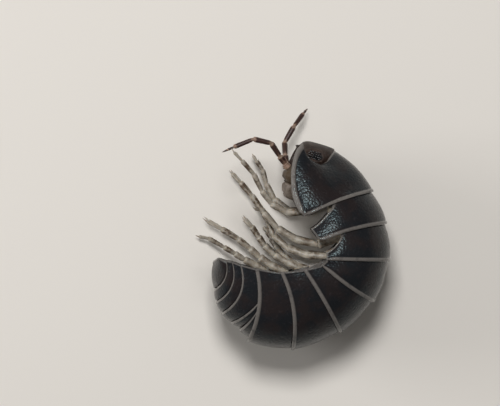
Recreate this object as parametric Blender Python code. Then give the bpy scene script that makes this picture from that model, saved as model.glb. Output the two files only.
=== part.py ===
"""A pill woodlouse at life size, lying on its right side, half uncurled, as a still museum model.

The animal's mid plane lies level. Seen from above, X runs to the right and Y to the top of the picture,
and the left side of the animal faces up. Sizes are in millimetres from the curl centre, the point round
which the back is bent, and are turned to metres when a mesh is made.
"""

import math
from collections import namedtuple

import bmesh
import bpy
import numpy as np

MM = 0.001

# The curl centre in the row frame, which puts the origin under the middle of the whole animal
CURL_CENTRE = np.array([0.49, -1.40, 3.10])

# Thickness of the horny plates, the step down from one rim to the next plate, and the cut between pieces
PLATE = 0.42
STEP = 0.09
CUT = 0.045

# Fullness of the cross arch: 1 gives an ellipse, and less makes the sides steeper
ARCH_POWER = 0.86
ARCH_COLUMNS = 18
PLATE_ROWS = 3

# Legs and feelers are made this thick, as far as their solids need
LIMB_RADIUS = 0.25
LIMB_SIDES = 8
# An article of a limb: places along it, and its radius there as a share of the usual one
ARTICLE_RINGS = ((0.14, 0.94), (0.80, 1.04))
LAST_ARTICLE_RINGS = ((0.16, 0.92), (0.60, 1.06), (1.0, 0.55))
LIMB_START = (0.0, 0.98)

# The rear rim of each plate: radius and bearing of its top round the curl centre, where its side corner
# lies, half the width there, and how far its middle bows towards the head
Rim = namedtuple("Rim", "radius bearing corner_x corner_y half_width bow")
RIMS = {
    "pereonite_1": Rim(4.46, 42.0, 0.35, 1.90, 3.02, 0.12),
    "pereonite_2": Rim(4.20, 21.3, 0.90, 0.74, 3.16, 0.12),
    "pereonite_3": Rim(4.04, -2.3, 1.14, -0.09, 3.22, 0.00),
    "pereonite_4": Rim(3.86, -31.5, 0.90, -0.30, 3.22, -0.10),
    "pereonite_5": Rim(3.84, -62.5, 0.10, -0.50, 3.18, 0.06),
    "pereonite_6": Rim(4.16, -95.6, -0.92, -0.61, 3.05, 0.28),
    "pereonite_7": Rim(4.44, -122.8, -2.04, -0.43, 2.80, 0.30),
    "pleonite_3": Rim(4.33, -144.7, -2.71, -0.27, 2.48, 0.44),
    "pleonite_4": Rim(4.28, -152.2, -3.08, -0.13, 2.25, 0.38),
    "pleonite_5": Rim(4.13, -159.5, -3.34, -0.09, 2.00, 0.25),
}

# The first two plates of the hind body have no side lobes: radius and bearing of the rim's top, and the
# share of the arch at which the rim runs in under the seventh plate
ShortRim = namedtuple("ShortRim", "radius bearing reach")
SHORT_RIMS = {
    "pleonite_1": ShortRim(4.28, -130.1, 0.52),
    "pleonite_2": ShortRim(4.31, -136.8, 0.60),
}

# How far each plate swells between its front and its rim, over the back
CROWN = {"pereonite_1": 0.20, "pereonite_2": 0.09, "pereonite_3": 0.10, "pereonite_4": 0.12}
USUAL_CROWN = 0.10
PLEON_CROWN = 0.04

# The second and third plates' side lobes stand clear of the lobe in front: their front corners, and
# the share of the arch from which they part from the rim in front
FRONT_CORNERS = {"pereonite_2": (0.43, 1.36), "pereonite_3": (1.15, 0.32)}
LOBE_PARTS_AT = 0.66

# The first plate's front margin, from the middle of the back round the side of the head to its lobe,
# and down the lobe's free edge to the side corner, as share of the arch, x, y and z
FIRST_FRONT = (
    (0.00, 1.53, 4.84, 0.00),
    (0.16, 1.49, 4.80, 0.50),
    (0.31, 1.36, 4.62, 1.00),
    (0.45, 1.14, 4.30, 1.48),
    (0.57, 0.79, 4.14, 1.82),
    (0.68, 0.42, 4.20, 2.02),
    (0.78, 0.20, 4.56, 2.12),
    (0.87, 0.12, 5.20, 2.12),
    (0.905, -0.21, 4.76, 2.34),
    (0.94, -0.40, 3.90, 2.60),
    (0.97, -0.38, 2.93, 2.84),
    (1.00, 0.07, 1.89, 3.02),
)
FIRST_ROWS = 4
FIRST_FRONT_FACES = 52.0

# The hind body's two short plates span this share of the first one's reach, in this many columns
SHORT_SPAN = 0.84
SHORT_COLUMNS = 10

# The tail: share of the last rim that the tail plate covers, the gap between it and each uropod, their
# free edges, how their insides narrow, and how far and which way they swell
TELSON_SHARE = 0.30
UROPOD_GAP = 0.035
TELSON_TIP = (-3.90, -0.16, 0.36)
UROPOD_INNER_TIP = (-3.90, -0.13, 0.44)
UROPOD_OUTER_TIP = (-3.72, 0.00, 1.80)
TAIL_NARROWS = 0.3
TAIL_CROWN = 0.10
TAIL_SWELLS = 200.0
TAIL_COLUMNS = 6
TAIL_ROWS = 2

# The soft body under the plates reaches this share of the way from the back to the corners. At the last
# rim it lies deeper, to clear the tail.
BELLY_SHARE = 0.62
BELLY_COLUMNS = 12
BELLY_POINTS = (0.25, 0.5, 0.75)
LAST_RING_DEEPER = 0.1
NECK = Rim(4.55, 62.0, 0.55, 2.95, 2.35, 0.0)

# The head in its own axes: forward along the face's normal, and down from crown to mouth
HEAD_ORIGIN = np.array([0.945, 5.12])
HEAD_FORWARD = 162.8
HEAD_SIDES = 18
# Levels from the crown down: depth, how far the front and the rear stand from the origin, half width
HEAD_LEVELS = (
    (0.03, 0.62, -0.54, 0.55),
    (0.14, 0.80, -0.58, 0.96),
    (0.32, 0.90, -0.50, 1.29),
    (0.60, 0.99, -0.46, 1.47),
    (1.00, 1.06, -0.42, 1.48),
    (1.45, 1.12, -0.30, 1.34),
    (1.85, 1.16, -0.10, 1.08),
    (2.16, 1.13, 0.03, 0.90),
)
MOUTH_LEVELS = (
    (2.21, 1.10, 0.07, 0.84),
    (2.53, 1.00, 0.14, 0.72),
    (2.78, 0.82, 0.24, 0.50),
)
HEAD_SQUARENESS = 0.80
EYE_DEPTH, EYE_FORWARD = 0.58, 0.12
EYE_LENGTH, EYE_HEIGHT, EYE_THICKNESS = 0.72, 0.44, 0.30
EYE_SIDES = 12
# Rings of an eye, from its flat foot to its top: share of the height and of the width
EYE_RINGS = ((0.0, 1.0), (0.6, 0.85), (1.0, 0.45))

# Legs: where each hip lies, the first article's rise and what each further one adds, and the articles'
# lengths and headings: coxa, both halves of the bowed basis, ischium, merus, carpus, and foot
Leg = namedtuple("Leg", "x y z rise curl lengths headings")
LEFT_LEGS = (
    Leg(0.92, 2.46, 1.95, 6, 2, (0.68, 0.92, 0.84, 0.74, 0.84, 0.84, 0.76), (212, 184, 151, 127, 116, 131, 130)),
    Leg(1.42, 0.84, 2.05, 4, 0, (0.66, 0.98, 1.00, 0.96, 0.92, 0.78, 0.76), (200, 168, 150, 131, 126, 131, 130)),
    Leg(1.80, 0.38, 2.16, 0, -3, (0.66, 0.94, 0.92, 0.82, 0.64, 0.66, 0.46), (206, 177, 160, 140, 112, 116, 160)),
    Leg(1.08, -0.82, 1.62, 2, -8, (0.66, 0.66, 0.74, 0.64, 0.52, 0.40, 0.40), (154, 164, 143, 127, 118, 124, 127)),
    Leg(0.54, -1.12, 2.12, 2, 0, (0.66, 0.74, 0.78, 0.60, 0.46, 0.56, 0.66), (124, 153, 151, 137, 125, 125, 131)),
    Leg(-0.58, -1.24, 1.92, 5, 0, (0.66, 0.62, 0.66, 0.60, 0.66, 0.90, 1.00), (102, 156, 146, 138, 141, 149, 148)),
    Leg(-1.68, -1.16, 1.70, 8, 2, (0.62, 0.55, 0.55, 0.52, 0.58, 0.84, 0.64), (78, 152, 153, 147, 149, 150, 167)),
)

# The right legs mirror the left ones, each leaning a little towards the tail or, where negative, the head.
# The first is bent more sharply than its fellow, so its articles are its own.
RIGHT_LEANS = (-3, -3, 2, -2, 1, 3)
FIRST_RIGHT_LEG = Leg(
    0.92, 2.42, 1.95, 4, 1, (0.68, 0.80, 0.84, 0.80, 0.66, 0.50, 0.40), (206, 180, 142, 118, 104, 125, 118)
)
RIGHT_LEGS = (FIRST_RIGHT_LEG,) + tuple(
    leg._replace(headings=[heading + lean for heading in leg.headings])
    for leg, lean in zip(LEFT_LEGS[1:], RIGHT_LEANS)
)

# Antennae: where each leaves the face, and each article's length, heading and rise
ANTENNA_ROOT = (-0.60, 4.15, 0.72)
LEFT_ANTENNA = ((0.12, 130, 10), (1.16, 124, 18), (0.84, 167, 14), (0.96, 202, 8), (0.30, 204, 4), (0.30, 204, 0))
RIGHT_ANTENNA = ((0.12, 100, 16), (1.10, 94, 30), (0.84, 60, 10), (0.90, 54, 36), (0.30, 50, 56), (0.28, 48, 56))


def direction(degrees):
    """Unit vector in the mid plane at this bearing."""
    return np.array([math.cos(math.radians(degrees)), math.sin(math.radians(degrees))])


def smooth(value):
    """0 below 0, 1 above 1, and a smooth rise between them."""
    value = min(max(value, 0.0), 1.0)
    return value * value * (3 - 2 * value)


def arch_weights(share):
    """How much of the height and of the width is left at this share of a cross arch."""
    angle = abs(share) * math.pi / 2
    return max(math.cos(angle), 0.0) ** ARCH_POWER, math.sin(angle) ** ARCH_POWER


def rim_axes(rim):
    """Top and corner of a rim, and the unit vectors from corner to top and towards the head."""
    top = rim.radius * direction(rim.bearing)
    corner = np.array([rim.corner_x, rim.corner_y])
    up = (top - corner) / np.linalg.norm(top - corner)
    return top, corner, up, np.array([-up[1], up[0]])


def rim_point(rim, share, inset=0.0):
    """A point on a rim. The share runs from -1 at the right corner over the back at 0 to 1 at the left."""
    top, corner, up, headward = rim_axes(rim)
    top = top - inset * up
    rise, spread = arch_weights(share)
    flat = corner + (top - corner) * rise + headward * rim.bow * 4 * rise * (1 - rise)
    return np.array([*flat, math.copysign((rim.half_width - inset) * spread, share)])


def short_rim_point(name, share, inset=0.0):
    """A point on the rim of one of the two short plates, which runs in under the seventh plate's rim."""
    seventh, short = RIMS["pereonite_7"], SHORT_RIMS[name]
    away = short.radius * direction(short.bearing) - rim_axes(seventh)[0]
    point = rim_point(seventh, share, inset)
    point[:2] += away * max(0.0, 1 - abs(share) / short.reach)
    return point


def behind(point, rim, distance):
    """The point moved towards the tail."""
    moved = point.copy()
    moved[:2] -= rim_axes(rim)[3] * distance
    return moved


def first_front_point(share, inset=0.0):
    """A point on the first plate's front margin, on a smooth curve through its named points."""
    stops = [stop[0] for stop in FIRST_FRONT]
    place = float(np.interp(abs(share), stops, range(len(stops))))
    index = min(int(place), len(stops) - 2)
    part = place - index
    points = [np.array(stop[1:]) for stop in FIRST_FRONT]
    a, b, c, d = (points[1] * (1, 1, -1), *points, points[-1])[index:index + 4]
    point = 0.5 * (
        2 * b + (c - a) * part + (2 * a - 5 * b + 4 * c - d) * part**2 + (3 * b - a - 3 * c + d) * part**3
    )
    rise, spread = arch_weights(share)
    point[:2] -= direction(FIRST_FRONT_FACES) * inset * rise
    point[2] = math.copysign(point[2] - inset * spread, share)
    return point


def front_point(name, previous, share, inset):
    """A point on the front edge of a plate, just behind and a step below the rim in front of it."""
    rim = RIMS[previous]
    point = behind(rim_point(rim, share, inset + STEP), rim, CUT)
    if name in FRONT_CORNERS:
        shift = np.array(FRONT_CORNERS[name]) - rim_axes(rim)[1]
        point[:2] += shift * smooth((abs(share) - LOBE_PARTS_AT) / (1 - LOBE_PARTS_AT))
    return point


def swollen(front, rear, up, share, along, crown):
    """A point between a plate's front edge and its rim, raised by its crown."""
    rise, spread = arch_weights(share)
    swell = crown * math.sin(math.pi * along)
    outward = np.array([up[0] * rise, up[1] * rise, math.copysign(0.5 * spread, share)])
    return front * (1 - along) + rear * along + outward * swell


def plate_grids(front, rear, up, crown, shares, rows):
    """Outer and inner grids of a plate, from functions of share and inset that give its two edges."""
    def grid(inset):
        return [
            [swollen(front(s, inset), rear(s, inset), up, s, k / rows, crown) for s in shares]
            for k in range(rows + 1)
        ]
    return grid(0.0), grid(PLATE)


def material(name, colour, roughness):
    """A plain material of this colour and roughness."""
    made = bpy.data.materials.get(name) or bpy.data.materials.new(name)
    made.use_nodes = True
    shader = made.node_tree.nodes["Principled BSDF"]
    shader.inputs["Base Color"].default_value = (*colour, 1.0)
    shader.inputs["Roughness"].default_value = roughness
    return made


def add_object(name, points, faces, finish):
    """A named object from points in millimetres round the curl centre, laid on the floor at z = 0."""
    world = np.array(points) + CURL_CENTRE
    world[:, 2] = np.maximum(world[:, 2], 0.0)
    mesh = bpy.data.meshes.new(name)
    mesh.from_pydata([tuple(p * MM) for p in world], [], faces)
    shape = bmesh.new()
    shape.from_mesh(mesh)
    bmesh.ops.recalc_face_normals(shape, faces=shape.faces)
    bmesh.ops.triangulate(shape, faces=shape.faces)
    shape.to_mesh(mesh)
    shape.free()
    mesh.materials.append(finish)
    mesh.shade_smooth()
    mesh.set_sharp_from_angle(angle=math.radians(40))
    made = bpy.data.objects.new(name, mesh)
    bpy.context.scene.collection.objects.link(made)
    return made


def add_plate(name, grids, finish):
    """A closed plate between an outer and an inner grid of points."""
    outer, inner = grids
    rows, columns = len(outer), len(outer[0])
    points = [p for grid in (outer, inner) for row in grid for p in row]

    def at(side, row, column):
        return (side * rows + row) * columns + column

    faces = []
    for row in range(rows - 1):
        for column in range(columns - 1):
            for side in (0, 1):
                corners = [(row, column), (row, column + 1), (row + 1, column + 1), (row + 1, column)]
                faces.append([at(side, *c) for c in corners[:: 1 - 2 * side]])
    for row in (0, rows - 1):
        for column in range(columns - 1):
            faces.append([at(0, row, column), at(0, row, column + 1), at(1, row, column + 1), at(1, row, column)])
    for column in (0, columns - 1):
        for row in range(rows - 1):
            faces.append([at(0, row, column), at(0, row + 1, column), at(1, row + 1, column), at(1, row, column)])
    return add_object(name, points, faces, finish)


def add_loft(name, rings, finish):
    """A closed solid through rings of points, with flat ends."""
    count = len(rings[0])
    points = [p for ring in rings for p in ring]
    faces = [list(range(count)), list(range((len(rings) - 1) * count, len(rings) * count))]
    for k in range(len(rings) - 1):
        for i in range(count):
            j = (i + 1) % count
            faces.append([k * count + i, k * count + j, (k + 1) * count + j, (k + 1) * count + i])
    return add_object(name, points, faces, finish)


def even_shares(count, limit=1.0):
    """Evenly spaced shares of an arch from -limit to limit."""
    return [limit * (2 * i / count - 1) for i in range(count + 1)]


def add_first_plate(finish):
    """The first plate, whose front margin clasps the head."""
    name = "pereonite_1"
    rim = RIMS[name]
    grids = plate_grids(
        first_front_point,
        lambda share, inset: rim_point(rim, share, inset),
        (direction(FIRST_FRONT_FACES) + rim_axes(rim)[2]) / 2,
        CROWN[name],
        [-stop[0] for stop in FIRST_FRONT[:0:-1]] + [stop[0] for stop in FIRST_FRONT],
        FIRST_ROWS,
    )
    add_plate(name, grids, finish)


def add_usual_plate(name, previous, crown, finish):
    """A plate between the rim in front of it and its own rim."""
    rim = RIMS[name]
    grids = plate_grids(
        lambda share, inset: front_point(name, previous, share, inset),
        lambda share, inset: rim_point(rim, share, inset),
        rim_axes(rim)[2],
        crown,
        even_shares(ARCH_COLUMNS),
        PLATE_ROWS,
    )
    add_plate(name, grids, finish)


def add_short_plates(finish):
    """The hind body's first two plates, and the third behind them, whose front follows the others' rims."""
    seventh = RIMS["pereonite_7"]
    up = rim_axes(seventh)[2]
    first, second = SHORT_RIMS
    fronts = {
        first: lambda share, inset: rim_point(seventh, share, inset + STEP),
        second: lambda share, inset: short_rim_point(first, share, inset + STEP / 2),
    }
    for name, front in fronts.items():
        reach = SHORT_SPAN * SHORT_RIMS[first].reach
        grids = plate_grids(
            lambda share, inset, front=front: behind(front(share, inset), seventh, CUT),
            lambda share, inset, name=name: short_rim_point(name, share, inset + STEP / 2),
            up,
            PLEON_CROWN,
            even_shares(SHORT_COLUMNS, reach),
            1,
        )
        add_plate(name, grids, finish)
    third = RIMS["pleonite_3"]
    grids = plate_grids(
        lambda share, inset: behind(short_rim_point(second, share, inset + STEP), seventh, CUT),
        lambda share, inset: rim_point(third, share, inset),
        rim_axes(third)[2],
        PLEON_CROWN,
        even_shares(ARCH_COLUMNS),
        PLATE_ROWS,
    )
    add_plate("pleonite_3", grids, finish)


def add_tail(finish):
    """The tail plate and, on each side of it, the outer branch of the uropod."""
    last = RIMS["pleonite_5"]
    up = direction(TAIL_SWELLS)

    def edge(share, inset):
        return behind(rim_point(last, share, inset + STEP), last, CUT)

    def drawn_in(point, share, inset):
        spread = arch_weights(share)[1]
        return point + np.array([inset, 0, -math.copysign(TAIL_NARROWS * inset * spread, share)])

    def telson_tip(share, inset):
        x, y, half = TELSON_TIP
        return drawn_in(np.array([x, y, half * share / TELSON_SHARE]), share, inset)

    shares = even_shares(TAIL_COLUMNS, TELSON_SHARE)
    add_plate("telson", plate_grids(edge, telson_tip, up, TAIL_CROWN, shares, TAIL_ROWS), finish)

    for side, sign in (("left", 1), ("right", -1)):
        start = TELSON_SHARE + UROPOD_GAP
        inner, outer = np.array(UROPOD_INNER_TIP), np.array(UROPOD_OUTER_TIP)

        def uropod_tip(share, inset, sign=sign):
            part = (abs(share) - start) / (1 - start)
            point = inner * (1 - part) + outer * part
            return drawn_in(point * np.array([1, 1, sign]), share, inset)

        shares = [sign * (start + (1 - start) * i / TAIL_COLUMNS) for i in range(TAIL_COLUMNS + 1)]
        add_plate(f"uropod_{side}", plate_grids(edge, uropod_tip, up, TAIL_CROWN, shares, TAIL_ROWS), finish)


def add_soft_body(finish):
    """The soft body under the plates, from the neck to the tail, flat below."""
    depth = PLATE + STEP + CUT
    last_share = math.acos((1 - BELLY_SHARE) ** (1 / ARCH_POWER)) * 2 / math.pi
    rings = []
    for rim in (NECK, *RIMS.values()):
        inset = depth if rim is not RIMS["pleonite_5"] else depth + LAST_RING_DEEPER
        ring = [rim_point(rim, share, inset) for share in even_shares(BELLY_COLUMNS, last_share)]
        left, right = ring[-1], ring[0]
        ring += [left + (right - left) * part for part in BELLY_POINTS]
        rings.append(ring)
    add_loft("soft_body", rings, finish)


def head_point(forward, down, z):
    """A point of the head, from its own axes."""
    front, below = direction(HEAD_FORWARD), direction(HEAD_FORWARD + 90)
    return np.array([*(HEAD_ORIGIN + front * forward + below * down), z])


def head_ring(level):
    """One level of the head as a ring, a rounded box in outline."""
    down, front, rear, half_width = level
    ring = []
    for i in range(HEAD_SIDES):
        angle = 2 * math.pi * i / HEAD_SIDES
        along, across = math.cos(angle), math.sin(angle)
        along = math.copysign(abs(along) ** HEAD_SQUARENESS, along)
        across = math.copysign(abs(across) ** HEAD_SQUARENESS, across)
        middle, half = (front + rear) / 2, (front - rear) / 2
        ring.append(head_point(middle + half * along, down, half_width * across))
    return ring


def head_half_width(down):
    """The head's half width at this depth below the crown."""
    depths = [level[0] for level in HEAD_LEVELS]
    return float(np.interp(down, depths, [level[3] for level in HEAD_LEVELS]))


def add_head(shell, dark, flesh):
    """Head, mouthparts and the two eyes, which stand a little out of the head's sides."""
    add_loft("head", [head_ring(level) for level in HEAD_LEVELS], shell)
    add_loft("mouthparts", [head_ring(level) for level in MOUTH_LEVELS], flesh)
    for side, sign in (("left", 1), ("right", -1)):
        rings = []
        for height, width in EYE_RINGS:
            ring = []
            for i in range(EYE_SIDES):
                angle = 2 * math.pi * i / EYE_SIDES
                forward = EYE_FORWARD + EYE_LENGTH / 2 * width * math.cos(angle)
                down = EYE_DEPTH + EYE_HEIGHT / 2 * width * math.sin(angle)
                base = head_half_width(down) + CUT
                ring.append(head_point(forward, down, sign * (base + height * EYE_THICKNESS / 2)))
            rings.append(ring)
        add_loft(f"eye_{side}", rings, dark)


def limb_rings(joints, radii):
    """Rings along a bent limb: each article narrows at its joints and swells between them."""
    joints = [np.array(p, float) for p in joints]
    rings = []
    for k in range(len(joints) - 1):
        start, end = joints[k], joints[k + 1]
        along = (end - start) / np.linalg.norm(end - start)
        across = np.cross(along, [0.0, 0.0, 1.0])
        across /= np.linalg.norm(across)
        upward = np.cross(across, along)
        last = k == len(joints) - 2
        stops = LAST_ARTICLE_RINGS if last else ARTICLE_RINGS
        if k == 0:
            stops = (LIMB_START, *stops)
        for part, swell in stops:
            centre = start + (end - start) * part
            ring = []
            for i in range(LIMB_SIDES):
                angle = 2 * math.pi * i / LIMB_SIDES
                spoke = across * math.cos(angle) + upward * math.sin(angle)
                ring.append(centre + spoke * radii[k] * swell)
            rings.append(ring)
    return rings


def walk(start, steps, sign):
    """The joints of a limb, from its first point and each article's length, heading and rise."""
    joints = [np.array(start, float)]
    for length, heading, rise in steps:
        level = math.cos(math.radians(rise)) * length
        out = math.sin(math.radians(rise)) * length
        joints.append(joints[-1] + np.array([*(direction(heading) * level), sign * out]))
    return joints


def add_legs(finish):
    """Seven pairs of legs, each of seven articles."""
    for side, sign, legs in (("left", 1, LEFT_LEGS), ("right", -1, RIGHT_LEGS)):
        for number, leg in enumerate(legs, 1):
            rises = [leg.rise + leg.curl * k for k in range(len(leg.lengths))]
            steps = list(zip(leg.lengths, leg.headings, rises))
            joints = walk((leg.x, leg.y, sign * leg.z), steps, sign)
            add_loft(f"leg_{side}_{number}", limb_rings(joints, [LIMB_RADIUS] * len(steps)), finish)


def add_antennae(finish):
    """The two long antennae, each of four stem articles and a two-part lash."""
    x, y, z = ANTENNA_ROOT
    for side, sign, steps in (("left", 1, LEFT_ANTENNA), ("right", -1, RIGHT_ANTENNA)):
        joints = walk((x, y, sign * z), steps, sign)
        add_loft(f"antenna_{side}", limb_rings(joints, [LIMB_RADIUS] * len(steps)), finish)


def build():
    """Clears the scene and makes every piece of the woodlouse."""
    for old in list(bpy.data.objects):
        bpy.data.objects.remove(old)
    shell = material("slate_shell", (0.019, 0.018, 0.020), 0.38)
    flesh = material("pale_skin", (0.38, 0.36, 0.31), 0.55)
    limb = material("pale_limb", (0.42, 0.40, 0.34), 0.45)
    feeler = material("brown_feeler", (0.075, 0.035, 0.028), 0.40)
    eye = material("black_eye", (0.006, 0.006, 0.007), 0.15)

    add_first_plate(shell)
    names = list(RIMS)
    for previous, name in zip(names, names[1:]):
        if name == "pleonite_3":
            continue
        crown = PLEON_CROWN if name.startswith("pleonite") else CROWN.get(name, USUAL_CROWN)
        add_usual_plate(name, previous, crown, shell)
    add_short_plates(shell)
    add_tail(shell)
    add_soft_body(flesh)
    add_head(shell, eye, flesh)
    add_legs(limb)
    add_antennae(feeler)


build()
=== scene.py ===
"""The looks of a pill woodlouse at life size, lying half uncurled on its right side.

Seen from above, X runs to the right of the picture and Y to its top, and the animal's left side faces up.
Shapes are worked out in millimetres from the curl centre, the point round which the back is bent, and are
turned to metres when a mesh is made. Bearings and headings are degrees from X towards Y.
"""

import math
from collections import namedtuple
from functools import partial

import bmesh
import bpy
import numpy as np
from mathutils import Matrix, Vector


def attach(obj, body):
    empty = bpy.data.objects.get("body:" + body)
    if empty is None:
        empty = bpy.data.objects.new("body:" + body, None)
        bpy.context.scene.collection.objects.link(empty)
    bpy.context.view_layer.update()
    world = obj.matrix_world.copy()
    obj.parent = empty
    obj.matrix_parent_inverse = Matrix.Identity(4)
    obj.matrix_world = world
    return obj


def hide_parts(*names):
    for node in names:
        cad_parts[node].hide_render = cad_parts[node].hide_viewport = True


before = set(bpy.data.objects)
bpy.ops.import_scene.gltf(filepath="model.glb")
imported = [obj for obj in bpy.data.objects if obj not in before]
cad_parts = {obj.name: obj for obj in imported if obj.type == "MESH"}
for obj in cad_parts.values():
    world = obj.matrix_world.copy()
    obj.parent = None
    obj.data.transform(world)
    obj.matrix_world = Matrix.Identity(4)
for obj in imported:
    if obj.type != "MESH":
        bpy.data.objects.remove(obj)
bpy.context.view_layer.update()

bl_info = {
    "name": "Pill Woodlouse",
    "version": (1, 0, 0),
    "blender": (4, 5, 0),
    "location": "View3D > Sidebar > Woodlouse",
    "description": "Builds a life-size pill woodlouse: plates, head, eyes, feelers, legs and soft underside",
    "category": "Add Mesh",
}

MM = 0.001
CURL_CENTRE = np.array([0.49, -1.40, 3.10])
# Points this close are merged, edges this short are dissolved, and edges this many degrees sharp stay sharp
MERGED_WITHIN, SHORTEST_EDGE, SHARP_FROM = 0.0002, 0.0001, 60

# A plate's front lies a step below the rim before it and a cut behind it
PLATE_STEP = 0.09
PLATE_CUT = 0.045
# The plates arch across as a rounded box does: 1 would be half an ellipse
ARCH_POWER = 0.86

# A plate's rear rim: how far and at which bearing its top lies from the curl centre, where its side corners
# lie, half its width, and how far it bows towards the head in between
Rim = namedtuple("Rim", "radius bearing corner_x corner_y half_width bow")
RIMS = {
    "pereonite_1": Rim(4.46, 42.0, 0.35, 1.90, 3.02, 0.12),
    "pereonite_2": Rim(4.20, 21.3, 0.90, 0.74, 3.16, 0.12),
    "pereonite_3": Rim(4.04, -2.3, 1.14, -0.09, 3.22, 0.00),
    "pereonite_4": Rim(3.86, -31.5, 0.90, -0.30, 3.22, -0.10),
    "pereonite_5": Rim(3.84, -62.5, 0.10, -0.50, 3.18, 0.06),
    "pereonite_6": Rim(4.16, -95.6, -0.92, -0.61, 3.05, 0.28),
    "pereonite_7": Rim(4.44, -122.8, -2.04, -0.43, 2.80, 0.30),
    "pleonite_3": Rim(4.33, -144.7, -2.71, -0.27, 2.48, 0.44),
    "pleonite_4": Rim(4.28, -152.2, -3.08, -0.13, 2.25, 0.38),
    "pleonite_5": Rim(4.13, -159.5, -3.34, -0.09, 2.00, 0.25),
}
# The first two hind plates are short: how far out across the back each shows past the seventh's rim
ShortRim = namedtuple("ShortRim", "radius bearing reach")
SHORT_RIMS = {
    "pleonite_1": ShortRim(4.28, -130.1, 0.63),
    "pleonite_2": ShortRim(4.31, -136.8, 0.72),
}
SHORT_RIM_POWER = 1.7
# Under that rim they go on for this share of their reach, run in this deep, and start this far before it
SHORT_GOES_ON, SHORT_HIDDEN, SHORT_TUCK = 1.33, -0.35, 0.25
SHORT_FRONT_DEPTHS, SHORT_REAR_DEPTH, THIRD_FRONT_DEPTH = (0.12, 0.13), 0.03, 0.11
SHORT_COLUMNS, SHORT_ROWS, SHORT_TUCKED = 61, 8, 0.3

# How far a plate's middle swells out over the straight line from its front to its rear
CROWN = {"pereonite_1": 0.20, "pereonite_2": 0.09, "pereonite_3": 0.10, "pereonite_4": 0.12}
USUAL_CROWN, PLEON_CROWN, TAIL_CROWN = 0.10, 0.04, 0.10
# The radii of each plate's side corners, at the front, where it is free, and at the rear
CORNER_ROUNDS = {"pereonite_1": (0.08, 0.16), "pereonite_2": (0.05, 0.26), "pereonite_3": (0.07, 0.08)}
USUAL_ROUNDS, NO_ROUNDS = (0.0, 0.14), (0.0, 0.0)
# The hind body's rims are this much narrower than the others
HIND_RIM = 0.55
# Where a lobed plate's front corner lies, and the share at which its front leaves the plate before it
FRONT_CORNERS = {"pereonite_2": (0.43, 1.36, 0.70), "pereonite_3": (1.15, 0.32, 0.76)}
# It is free from this far past that share, over this much of the arch, and has a bead this wide
FREE_PAST, FREE_OVER, FREE_BEAD = 0.02, 0.08, 0.10

# The first plate's front margin, from over the neck, round the eye, to the lobe's tip and down its front
LOBE_TIP = 0.87
FIRST_FRONT = (
    (0.00, 1.53, 4.84, 0.00),
    (0.16, 1.49, 4.80, 0.50),
    (0.31, 1.36, 4.62, 1.00),
    (0.45, 1.14, 4.30, 1.48),
    (0.57, 0.79, 4.14, 1.82),
    (0.68, 0.42, 4.20, 2.02),
    (0.78, 0.20, 4.56, 2.12),
    (LOBE_TIP, 0.12, 5.20, 2.12),
    (0.905, -0.21, 4.76, 2.34),
    (0.94, -0.40, 3.90, 2.60),
    (0.97, -0.38, 2.93, 2.84),
    (0.985, -0.21, 2.37, 2.94),
    (1.00, 0.07, 1.89, 3.02),
)
FIRST_FRONT_FACES = 52.0
# The raised bead along it is narrow over the neck and wide down the lobe
FIRST_BEAD, LOBE_BEAD_ADDS, LOBE_BEAD_FROM, LOBE_BEAD_OVER = 0.14, 0.10, 0.84, 0.06

# Columns of a plate: runs of shares from the back outwards, and the close ones at the side edge
USUAL_RUNS = ((0, 0.97, 44), (0.97, 0.99, 8))
FIRST_RUNS = ((0, 0.78, 30), (0.78, LOBE_TIP, 12), (LOBE_TIP, 0.99, 34))
SIDE_SHARES = (0.99, 0.9925, 0.995, 0.997, 0.9985, 0.9995, 1.0)

# The tail plate takes the middle of the arch, and the uropods the rest of it
TELSON_SHARE, UROPOD_SHARE = 0.30, 0.335
TELSON_TIP = (-3.90, -0.16, 0.36)
UROPOD_INNER_TIP = (-3.90, -0.13, 0.44)
UROPOD_OUTER_TIP = (-3.72, 0.00, 1.80)
UROPOD_SHARES = np.array([*np.linspace(UROPOD_SHARE, 0.98, 26), 0.99, 0.995, 0.9985, 1.0])
# They swell out at this bearing, and narrow by this share of their depth
TAIL_SWELLS, TAIL_TIPS_NARROW = 200.0, 0.3

# A plate's section runs round from its front edge over its top to the rim, and back along its underside.
# The front runs in under the plate before it: how far behind its front line, and how deep below the top face
TUCKED_FRONT = (
    (-0.315, 0.215), (-0.345, 0.195), (-0.350, 0.165), (-0.320, 0.135), (-0.230, 0.085), (-0.140, 0.040),
    (-0.070, 0.012), (0.000, 0.000), (0.060, 0.000),
)
# A free front is a raised bead: shares of the bead's width and of the plate's thickness
BEAD_FRONT = (
    (0.10, 0.95), (0.00, 0.62), (0.00, 0.30), (0.12, -0.05), (0.32, -0.18), (0.52, -0.16), (0.70, -0.02),
    (0.80, 0.045), (1.00, 0.000),
)
# The bead is pale up to this share of its width, takes at most this share of the plate's length, and
# stands as high as the table says where it is this wide
BEAD_PALE_TO, BEAD_FADES_OVER, BEAD_SHARE, BEAD_WIDTH = 0.62, 0.2, 0.4, 0.13
# Towards the rear: distance from the rim's edge, depth, or height as a share of the lip, and rim colour
REAR_STOPS = (
    (0.32, 0.0, 0.0), (0.225, 0.0, 0.0), (0.195, 0.014, 0.0), (0.172, 0.006, 0.4), (0.150, -0.6, 0.8),
    (0.12, -0.95, 0.85), (0.085, -1.0, 0.85), (0.050, -0.75, 0.85), (0.025, -0.3, 0.8),
)
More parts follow.
